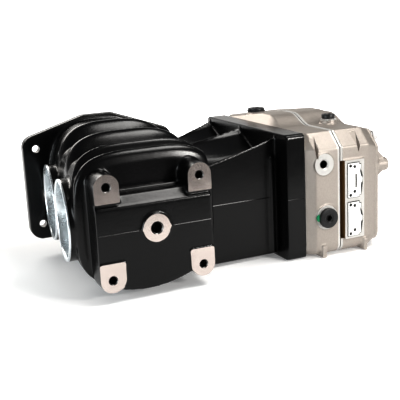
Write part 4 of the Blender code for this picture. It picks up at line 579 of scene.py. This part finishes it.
def at_mouth(tool, mouth):
    """Set a tool or ring that lies along the X axis square to the slanted face, round a mouth."""
    tool.data.transform(Matrix.Translation(mouth) @ Matrix.Rotation(-tilt, 4, "Z"))
    return tool


faces = [block("boss_face", -213, -164, -40, -25.5, 60, 104)]
for x in ear_x:
    faces.append(block("ear_face", x - 19, x + 19, -40, -24, 115, 156))
    faces.append(block("ear_face", x - 19, x + 19, -40, -24, 8, 49.5))
for mouth in mouths:
    faces.append(at_mouth(rod("mouth_face", "X", 0, 0, mouth_radius, -14, 0, 96), mouth))
machine(housing, milled_face, faces)

drive_y, driven_y, shaft_z = 82, 154, 82
bores = [prism("plate_seat", soft_box(24.1, 211.9, 24.1, 139.9, 30), "X", 5.7, 31)]
for y in (drive_y, driven_y):
    bores.append(rod("chamber", "X", y, shaft_z, 48.2, -206, 8, 96))
for mouth in mouths:
    bores.append(rod("throat", "X", mouth.y, inlet_z, 45, -291.5, -220, 96))
    bores.append(at_mouth(rod("seat", "X", 0, 0, 48.9, -10, 14.3, 96), mouth))
machine(housing, turned_bore, bores)

port_half_angle = math.pi - math.radians(58)
ports = []
for y, way in ((drive_y, math.pi), (driven_y, 0)):
    start, end = way - port_half_angle, way + port_half_angle
    port = ring_of(y, shaft_z, 44, 36, start, end) + ring_of(y, shaft_z, 19, 24, start, end)[::-1]
    ports.append(prism("port", port, "X", -222, -204))
ports.append(prism("window", soft_box(-240, -116, 58, 165, 22), "Y", 209.6, 232))
ports.append(prism("outlet_port", [(-192, 118), (-118, 87.8), (-118, 148.2)], "Z", 118, 143))
passage = solid("passage", [drum_ring(y, grow=-13, ribs=False, count=96) for y in (28, 118, 232)])
machine(passage, black_enamel, [block("floor_cut", -300, -60, 0, 260, -20, 137)])
ports.append(passage)
machine(housing, black_enamel, ports)

case_bolts = ((14, 20), (14, 149), (124, 154), (222, 149), (226, 82), (222, 20), (124, 17))
case_dowels = ((11, 60), (224, 120))


def bolt_bores(start, end):
    return [rod("bolt_bore", "X", y, z, 4.3, start, end, 24) for y, z in case_bolts]


def dowel_bores(start, end):
    return [rod("dowel_bore", "X", y, z, 4.3, start, end, 24) for y, z in case_dowels]


holes = []
for x in ear_x:
    for z in (upper_ear_z, lower_ear_z):
        holes.append(rod("ear_hole", "Y", x, z, 4.7, -29, -2, 32))
        holes.append(turned("ear_countersink", "Y", x, z, ((-24.2, 5.9), (-22.9, 4.6)), 32))
holes.append(rod("boss_hole", "Y", boss_x, boss_z, 6.5, -31, -2, 40))
holes.append(turned("boss_countersink", "Y", boss_x, boss_z, ((-25.8, 8.2), (-23.9, 6.4)), 40))
for x in (outlet_left, outlet_right):
    for z in (44, 149.5):
        holes.append(rod("outlet_hole", "Y", x, z, 5.2, 204.5, 232, 32))
holes += bolt_bores(10, 31) + dowel_bores(15.7, 31)
for y in (40.1, 195.9):
    for z in (42.1, 121.9):
        holes.append(rod("screw_hole", "X", y, z, 3.0, -6, 11, 24))
machine(housing, hole_wall_shade, holes)
hubs = [rod("hub", "X", y, shaft_z, 18, -232, -208) for y in (drive_y, driven_y)]
machine(housing, turned_bore, hubs, "UNION")
tail_bores = [rod("tail_bore", "X", y, shaft_z, 12.3, -226, -204) for y in (drive_y, driven_y)]
machine(housing, turned_bore, tail_bores)
fit(housing, stands_for=["rotor_housing"])

# ---------------------------------------------------------------- inlet sleeves
# Turned aluminium rings pressed into the two mouths. They are polished inside, where the air runs, and
# stand a couple of millimetres proud of the casting with a rolled lip.
polished, tree, shader = blank("polished_sleeve")
marks = use(tree, cutter_marks, Pitch=1500.0, Turn=0.0)
surface(tree, shader, marks.outputs["Tone"], (0.66, 0.72, 0.75), (0.88, 0.90, 0.91), smooth=0.22, rough=0.34)
relief(tree, shader, marks.outputs["Height"], strength=0.1, depth=0.00001)
shader.inputs["Metallic"].default_value = 0.9


def hoop(name, loops):
    """A closed hoop through loops of points that have the same count, the last joined to the first."""
    shape = bmesh.new()
    rows = [[shape.verts.new(point) for point in loop] for loop in loops]
    for here, there in zip(rows, rows[1:] + rows[:1]):
        for i in range(len(here)):
            j = (i + 1) % len(here)
            shape.faces.new((here[i], here[j], there[j], there[i]))
    bmesh.ops.recalc_face_normals(shape, faces=shape.faces)
    return object_of(name, shape)


sleeve_section = [
    (14, 45), (14, 48.6), (-0.3, 48.6), (-0.3, 50.5), (-1.9, 50.5),
    (-2.4, 50.0), (-2.5, 48.2), (-2.3, 46.4), (-1.6, 45.4), (-0.4, 45),
]
angles = [math.tau * i / 96 for i in range(96)]
for name, mouth in (("near_inlet_sleeve", mouths[0]), ("far_inlet_sleeve", mouths[1])):
    loops = [[(x, r * math.cos(angle), r * math.sin(angle)) for x, r in sleeve_section] for angle in angles]
    ring = at_mouth(hoop(name + "_polished", loops), mouth)
    ring.data.materials.append(polished)
    fit(ring, crease=50, stands_for=[name])

# ---------------------------------------------------------------- gear case
# Bare sand-cast aluminium box for the timing gears and their oil. Its joint faces, the spot faces for the
# port and the drain plug, and the strip along the cover joint are milled bright.


def bare_casting(name, dark, light, roughness):
    """Bare sand-cast aluminium: grain, slow change of tone and outward corners lightened, partly as wear and
    partly as a painted highlight.
    """
    made, tree, shader = blank(name)
    skin = use(tree, cast_skin, Grain=430.0, Flow=210.0)
    edge = use(tree, worn_edge_and_highlight, Start=0.52, End=0.62)
    body = blend(tree, skin.outputs["Tone"], dark, light)
    body = blend(tree, spread(tree, skin.outputs["Speckle"], 0.0, 0.22), body, tuple(c * 0.72 for c in dark))
    gloss = spread(tree, skin.outputs["Tone"], roughness - 0.06, roughness + 0.08)
    tree.links.new(blend(tree, edge.outputs["Mask"], body, (0.93, 0.90, 0.86)), shader.inputs["Base Color"])
    tree.links.new(gloss, shader.inputs["Roughness"])
    relief(tree, shader, skin.outputs["Height"], strength=0.5, depth=0.00045)
    shader.inputs["Metallic"].default_value = 0.7
    return made


bare_cast = bare_casting("bare_sand_casting", (0.36, 0.325, 0.295), (0.50, 0.46, 0.425), roughness=0.5)
milled_bright = bare_metal(
    "bright_milled_face", (0.54, 0.53, 0.51), (0.70, 0.69, 0.67),
    roughness=0.36, pitch=640.0, angle=0.3, depth=0.00002, metallic=0.3,
)
# slot walls: dark brown painted shade with a painted brown reflection
slot_wall_shade, tree, shader = blank("slot_wall_painted_shade")
skin = use(tree, cast_skin, Grain=500.0, Flow=80.0)
surface(tree, shader, skin.outputs["Tone"], (0.20, 0.11, 0.04), (0.34, 0.21, 0.09), smooth=0.35, rough=0.5)
relief(tree, shader, skin.outputs["Height"], strength=0.2, depth=0.0002)
shader.inputs["Metallic"].default_value = 0.7


def case_ring(x, flare=1, shrink=0):
    """The castings' section at x: square below, chamfered above, with a step up to a sloping top."""
    near = -10 * flare + shrink
    far = 236 + 10 * flare - shrink
    low = 2.5 + shrink
    low_top = 163 - shrink
    high_top = low_top + 14 * flare
    radius = 12
    points = ring_of(near + radius, low + radius, radius, 10, 1.5 * math.pi, math.pi)
    points += [(near, 143 - shrink), (near + 20, low_top)]
    for i in range(13):
        rise = (1 - math.cos(math.pi * i / 12)) / 2
        points.append((66 + 42 * i / 12, low_top + (high_top - low_top) * rise))
    points += [(130, high_top), (far - 15, low_top + 2 * flare), (far, 143 - shrink)]
    points += ring_of(far - radius, low + radius, radius, 10, 0, -0.5 * math.pi)
    return [along("X", y, z, x) for y, z in points[::-1]]


def pocket(x0, x1, z_low, depth):
    """A three-cornered hollow in the chamfer over the pad side, wide above and pointed below."""
    middle = (x0 + x1) / 2
    back = 6 + depth
    tip = ((-0.6, -12), (0.6, -12), (0.6, -9), (-0.6, -9))
    point = [Vector((middle + side, y, z_low)) for side, y in tip]
    top = [Vector(place) for place in ((x0, -18, 152), (x1, -18, 152), (x1, back, 166), (x0, back, 166))]
    return solid("pocket", [point, top])


def feet(x):
    """The two small feet under a casting."""
    return [block("foot", x - 3, x + 3, y, y + 34, 0, 16) for y in (-13, 215)]


def joint_band(x0, x1):
    """The narrow milled strip that runs right round the castings beside their joint."""
    return hoop("joint_band", [
        case_ring(x, shrink=shrink) for x, shrink in ((x0, -6), (x1, -6), (x1, 0.5), (x0, 0.5))
    ])


def face_cut(x0, x1):
    """A slab that mills a whole side of the castings."""
    return block("face_cut", x0, x1, -30, 270, -20, 220)


oil_port, drain, oil_cap = (48, 124), (51, 54), (46, 165)
bodies = [
    solid("case", [case_ring(24.5, flare=0), case_ring(26.3, flare=0), case_ring(36.3), case_ring(74)]),
    rod("port_seat", "Y", *oil_port, 13.9, -13, -5), rod("plug_seat", "Y", *drain, 15.6, -13, -5),
    rod("cap_boss", "Z", *oil_cap, 12.5, 130, 176.4), *feet(47),
]
case = cast("gear_case_casting", bodies, grain=1.3, rounding=4, skin=bare_cast)
machine(case, bare_cast, [pocket(33, 44, z_low=132, depth=3)])
machine(case, milled_bright, [
    face_cut(15, 26.3), face_cut(72.3, 90),
    rod("port_face", "Y", *oil_port, 15, -20, -11.5), rod("plug_face", "Y", *drain, 17, -20, -11.5),
    rod("cap_face", "Z", *oil_cap, 14, 175.5, 190), joint_band(69.2, 80),
])
machine(case, hole_wall_shade, [
    prism("gear_room", soft_box(41, 195, 38.4, 125.6, 38), "X", 15, 62.3),
    rod("seal_bore", "X", drive_y, shaft_z, 16.3, 20, 80), rod("port_bore", "Y", *oil_port, 5.3, -20, 60, 40),
    rod("plug_bore", "Y", *drain, 9.3, -20, 60), rod("cap_bore", "Z", *oil_cap, 10, 100, 190),
    *bolt_bores(15, 90), *dowel_bores(15, 36.3),
])
machine(case, milled_bright, [turned("port_bevel", "Y", *oil_port, ((-11.8, 7.4), (-9.6, 5.2)), 40)])
fit(case, stands_for=["gear_case"])

# ---------------------------------------------------------------- motor cover and its connector pad
# The second bare casting, bolted to the gear case round the motor and its electronics. The pad for the two
# connector plates is milled bright, and the deep slot beside it is painted dark brown: painted shade with a
# painted brown reflection.
breather = (103, 63)
bodies = [
    solid("cover", [
        case_ring(72), case_ring(117.7), case_ring(131.7, shrink=5), case_ring(133.4, shrink=5.6),
    ]),
    block("pad", 78.2, 108, -14.5, -5, 20, 125),
    rod("breather_seat", "Z", *breather, 11.7, 150, 169.5), *feet(111),
]
cover = cast("motor_cover_casting", bodies, grain=1.3, rounding=4, skin=bare_cast)
machine(cover, bare_cast, [pocket(95, 108, z_low=135, depth=4)])
machine(cover, milled_bright, [
    face_cut(60, 73.7), face_cut(131.7, 150), block("pad_face", 76.5, 110, -25, -13, 15, 130),
    rod("breather_face", "Z", *breather, 13, 168.5, 185), joint_band(60, 76.6),
])
machine(cover, slot_wall_shade, [block("slot", 71.7, 78.2, -20, 2, 21, 125.3)])
machine(cover, hole_wall_shade, [
    rod("motor_room", "X", drive_y, shaft_z, 70.3, 60, 150, 96),
    prism("electronics", soft_box(131, 213, 24, 143, 8), "X", 60, 150),
    rod("breather_bore", "Z", *breather, 6.3, 100, 190, 40), *bolt_bores(60, 150),
])
fit(cover, stands_for=["motor_cover"])

# ---------------------------------------------------------------- end lid
# A flat bare casting held by seven screws. It carries the motor's nose bearing in a hub and the board's four
# posts inside, and two round lugs with a web each outside.
lugs = ((4.4, 110), (180, 112))


def board_posts(end):
    return [rod("post", "X", y, z, 4, 123, end, 32) for y in (140, 200) for z in (50, 118)]


bodies = [
    solid("lid", [case_ring(130.5, shrink=5), case_ring(136, shrink=5), case_ring(138, shrink=8)]),
    rod("hub", "X", drive_y, shaft_z, 21, 120, 134), *board_posts(134),
]
for y, z in lugs:
    bodies.append(rod("lug", "X", y, z, 9, 134, 154.4, 48))
    web = [(136, z + 24), (136, z - 17), (147, z - 9), (153.5, z - 5), (153.5, z + 5)]
    bodies.append(prism("web", web, "Y", y - 4.5, y + 4.5))
lid = cast("end_lid_casting", bodies, grain=1.2, rounding=4, skin=bare_cast)
# the inner face is milled flat right across, and the hub and the posts stand clean on it
machine(lid, milled_bright, [face_cut(118, 132)])
machine(lid, bare_cast, [rod("hub", "X", drive_y, shaft_z, 21, 120, 133), *board_posts(133)], "UNION")
machine(lid, milled_bright, [
    rod("nose_bore", "X", drive_y, shaft_z, 16.3, 115, 131),
    *[rod("lug_face", "X", y, z, 11, 154, 170, 48) for y, z in lugs],
    *[rod("screw_seat", "X", y, z, 7.2, 137.6, 150, 32) for y, z in case_bolts],
])
machine(lid, hole_wall_shade, bolt_bores(118, 150))
fit(lid, stands_for=["end_lid"])

# ---------------------------------------------------------------- plugs and their washers
# Black-oxide steel plugs with a hexagon socket, screwed down on metal washers, or on rubber under the oil
# cap. The drain plug was dabbed with green paint after it was tightened.
black_oxide, tree, shader = blank("black_oxide_steel")
marks = use(tree, cutter_marks, Pitch=1100.0, Turn=0.4)
# outward edges lightened: worn oxide and a painted edge highlight
edge = use(tree, worn_edge_and_highlight, Start=0.53, End=0.66)
body = blend(tree, marks.outputs["Tone"], (0.012, 0.012, 0.013), (0.035, 0.035, 0.036))
tree.links.new(blend(tree, edge.outputs["Mask"], body, (0.16, 0.16, 0.16)), shader.inputs["Base Color"])
tree.links.new(spread(tree, marks.outputs["Tone"], 0.3, 0.48), shader.inputs["Roughness"])
relief(tree, shader, marks.outputs["Height"], strength=0.2, depth=0.00003)
shader.inputs["Metallic"].default_value = 0.3


def plug(name, axis, u, v, seat, way, radius, collar_radius, collar, thread, stands_for):
    """A turned plug: threaded shank, rounded collar and a hexagon socket; way is 1 or -1 along its axis."""
    washer = 1.8
    soft = 0.8
    joint = seat + way * washer
    face = joint + way * collar
    stations = [
        (seat - way * thread, radius - 1), (seat - way * (thread - 1), radius), (joint, radius),
        (joint, collar_radius - 0.4), (joint + way * 0.4, collar_radius), (face - way * soft, collar_radius),
        (face - way * soft * 0.3, collar_radius - soft * 0.3), (face, collar_radius - soft),
    ]
    piece = turned(name, axis, u, v, stations[::way], 72)
    deep = face - way * (collar + 2)
    past = face + way * 5
    socket = prism("socket", ring_of(u, v, 4.6, 6), axis, min(deep, past), max(deep, past))
    dish = turned("dish", axis, u, v, ((face - way * 0.9, 5.4), (face + way * 0.3, 6.6)), 48)
    machine(piece, black_oxide, [socket, dish])
    piece.data.materials.clear()
    piece.data.materials.append(black_oxide)
    fit(piece, stands_for=stands_for)


plug(
    "drain_plug_turned", "Y", *drain, seat=-11.5, way=-1, radius=9, collar_radius=13.2, collar=4.5, thread=13,
    stands_for=["drain_plug"],
)
plug(
    "breather_plug_turned", "Z", *breather, seat=168.5, way=1, radius=6, collar_radius=9, collar=5.5,
    thread=10, stands_for=["breather_plug"],
)
plug(
    "oil_cap_turned", "Z", *oil_cap, seat=175.5, way=1, radius=9.7, collar_radius=12, collar=3, thread=12,
    stands_for=["oil_cap"],
)

green_paint, tree, shader = blank("green_marking_paint")
place = node(tree, "ShaderNodeTexCoord").outputs["Object"]
pool = node(tree, "ShaderNodeTexNoise", {"Vector": place, "Scale": 320.0, "Detail": 3.0}).outputs["Fac"]
surface(tree, shader, pool, (0.004, 0.20, 0.08), (0.015, 0.36, 0.16), smooth=0.25, rough=0.45)
relief(tree, shader, pool, strength=0.3, depth=0.0003)
dab = []
for w, r in ((-14.9, 1.9), (-14.2, 3.5), (-13.0, 4.4), (-11.3, 4.2)):
    outline = []
    for k in range(40):
        angle = math.tau * k / 40
        lobe = 1 + 0.08 * math.sin(3 * angle)
        x = 51 - 12.2 + 0.86 * r * math.cos(angle) * lobe
        outline.append(along("Y", x, 54.6 + r * 1.05 * math.sin(angle), w))
    dab.append(outline)
paint = solid("green_paint_dab", dab)
paint.data.materials.append(green_paint)
fit(paint, crease=60)

washer_metal = bare_metal(
    "soft_washer", (0.78, 0.77, 0.75), (0.93, 0.92, 0.90),
    roughness=0.3, pitch=700.0, angle=0.8, depth=0.00002,
)
soft_rubber, tree, shader = blank("moulded_rubber")
skin = use(tree, cast_skin, Grain=900.0, Flow=120.0)
surface(tree, shader, skin.outputs["Tone"], (0.012, 0.012, 0.012), (0.03, 0.03, 0.03), smooth=0.6, rough=0.8)
relief(tree, shader, skin.outputs["Height"], strength=0.2, depth=0.0001)


def dress(finish, *names):
    for name in names:
        piece = frame["nodes"][name]
        piece.data.materials.clear()
        piece.data.materials.append(finish)


dress(washer_metal, "drain_plug_washer", "breather_washer")
dress(soft_rubber, "oil_cap_washer", "joint_gasket")
dress(soft_rubber, "drive_shaft_seal", "driven_shaft_seal", "motor_shaft_seal")

# ---------------------------------------------------------------- connector plates
# Two thin milled aluminium covers on the pad, each with a stepped edge and four pin holes, on a black rubber
# sheet grown past its edges as a painted shadow line. The upper one has a narrow slit, its walls painted dark
# as shade.
white_plate = bare_metal(
    "white_milled_plate", (0.90, 0.90, 0.89), (0.99, 0.99, 0.98),
    roughness=0.34, pitch=900.0, angle=0.1, depth=0.00001, metallic=0.15,
)
for name, low, high in (("upper_connector_plate", 76, 121), ("lower_connector_plate", 24, 69)):
    middle = (low + high) / 2
    edge = [
        (82.2, low), (99, low), (99, low + 2.5), (101.5, low + 2.5),
        (101.5, middle - 5), (104, middle - 2.5), (104, middle + 2.5), (101.5, middle + 5),
        (101.5, high - 2.5), (99, high - 2.5), (99, high), (82.2, high),
    ]
    plate = prism(name + "_milled", edge, "Y", -14.9, -13.3)
    plate.data.materials.append(white_plate)
    pins = []
    for x, z in ((85.6, low + 3), (85.6, high - 3), (92, low + 7.5), (92, high - 4.6)):
        pins.append(rod("pin", "Y", x, z, 2.1, -20, -12, 24))
    if name == "upper_connector_plate":
        pins.append(block("slit", 92.9, 95.2, -20, -14.2, middle - 10, middle + 8))
    machine(plate, hole_wall_shade, pins)
    step = plate.modifiers.new("eased_edge", "BEVEL")
    step.width = 0.18
    step.segments = 2
    step.angle_limit = math.radians(50)
    settle(plate)
    fit(plate, stands_for=[name])
    # the black sheet grows past the plate's edges: a painted shadow line round it
    grown = [(x + (1.3 if x > 90 else 0), z + (0.9 if z > middle else -0.9)) for x, z in edge]
    shadow_sheet = prism(name + "_gasket", grown, "Y", -13.9, -12.9)
    shadow_sheet.data.materials.append(soft_rubber)
    fit(shadow_sheet)

# ---------------------------------------------------------------- case screws
# Seven long socket head screws of zinc-plated steel that clamp lid, cover and gear case to the flange.
# Each head is knurled round its side and rounded at its rim, with a hexagon socket.
zinc = bare_metal(
    "zinc_plated_screw", (0.18, 0.18, 0.175), (0.34, 0.33, 0.32),
    roughness=0.34, pitch=900.0, angle=0.6, depth=0.00003,
)
for number, (y, z) in enumerate(case_bolts, 1):
    knurl = []
    for k in range(96):
        angle = math.tau * k / 96
        radius = 6.45 - 0.18 * (k % 2)
        knurl.append((y + radius * math.cos(angle), z + radius * math.sin(angle)))
    outlines = [(x, ring_of(y, z, r, 96)) for x, r in ((12, 4), (138.3, 4), (138.3, 6.1))]
    outlines += [(138.9, knurl), (144.4, knurl)]
    outlines += [(x, ring_of(y, z, r, 96)) for x, r in ((145.3, 6.3), (146.0, 5.9), (146.3, 5.2))]
    rings = [[along("X", p, q, x) for p, q in outline] for x, outline in outlines]
    screw = solid(f"case_screw_{number}", rings)
    machine(screw, zinc, [prism("socket", ring_of(y, z, 3.7, 6), "X", 142, 150)])
    fit(screw, crease=38, stands_for=[f"case_bolt_{number}"])
dress(zinc, "plate_screw_1", "plate_screw_2", "plate_screw_3", "plate_screw_4")

# ---------------------------------------------------------------- rotors, shafts, gears and bearings
# Twisted three-lobe aluminium rotors, milled all over, on ground steel shafts. Hobbed gears time them, and
# they run in ball bearings at the tail and behind the plate that closes the chamber.
rotor_skin = bare_metal(
    "milled_rotor", (0.62, 0.62, 0.61), (0.80, 0.80, 0.79),
    roughness=0.3, pitch=480.0, angle=0.2, depth=0.00004,
)
ground_steel = bare_metal(
    "ground_steel", (0.50, 0.51, 0.52), (0.68, 0.69, 0.70),
    roughness=0.2, pitch=1400.0, angle=0.0, depth=0.00001,
)
hobbed_gear = bare_metal(
    "hobbed_gear_steel", (0.30, 0.30, 0.31), (0.48, 0.48, 0.49),
    roughness=0.34, pitch=800.0, angle=0.9, depth=0.00003,
)
dress(rotor_skin, "drive_rotor", "driven_rotor", "bearing_plate")
dress(ground_steel, "drive_shaft", "driven_shaft", "dowel_pin_1", "dowel_pin_2")
dress(ground_steel, *[name for name in frame["nodes"] if "race" in name or "tail_bearing" in name])
dress(hobbed_gear, "drive_timing_gear", "driven_timing_gear")
dress(hobbed_gear, "drive_gear_nut", "driven_gear_nut", "motor_rotor_nut")

# ---------------------------------------------------------------- motor and control board
# A toothed stack of electrical steel with wound copper ends, a plain rotor on the drive shaft, and the
# board that feeds it, which stands on four posts of the lid.
stack, tree, shader = blank("stacked_laminations")
place = node(tree, "ShaderNodeTexCoord").outputs["Object"]
sheets = node(tree, "ShaderNodeTexWave", {
    "Vector": place, "Scale": 900.0, "Distortion": 0.4,
}, bands_direction="X").outputs["Fac"]
surface(tree, shader, sheets, (0.12, 0.12, 0.13), (0.28, 0.29, 0.30), smooth=0.35, rough=0.5)
relief(tree, shader, sheets, strength=0.4, depth=0.0001)
shader.inputs["Metallic"].default_value = 0.9
dress(stack, "motor_stator", "motor_rotor")
copper, tree, shader = blank("wound_copper")
place = node(tree, "ShaderNodeTexCoord").outputs["Object"]
wires = node(tree, "ShaderNodeTexWave", {
    "Vector": place, "Scale": 420.0, "Distortion": 2.0,
}, bands_direction="DIAGONAL").outputs["Fac"]
surface(tree, shader, wires, (0.30, 0.10, 0.04), (0.72, 0.33, 0.15), smooth=0.28, rough=0.45)
relief(tree, shader, wires, strength=0.6, depth=0.0004)
shader.inputs["Metallic"].default_value = 0.9
dress(copper, "front_winding", "rear_winding")
laminate, tree, shader = blank("green_board_laminate")
place = node(tree, "ShaderNodeTexCoord").outputs["Object"]
tracks = node(tree, "ShaderNodeTexVoronoi", {
    "Vector": place, "Scale": 220.0,
}, distance="MANHATTAN").outputs["Distance"]
surface(tree, shader, tracks, (0.01, 0.10, 0.04), (0.04, 0.24, 0.09), smooth=0.3, rough=0.5)
relief(tree, shader, tracks, strength=0.3, depth=0.0001)
dress(laminate, "control_board")

low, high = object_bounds()
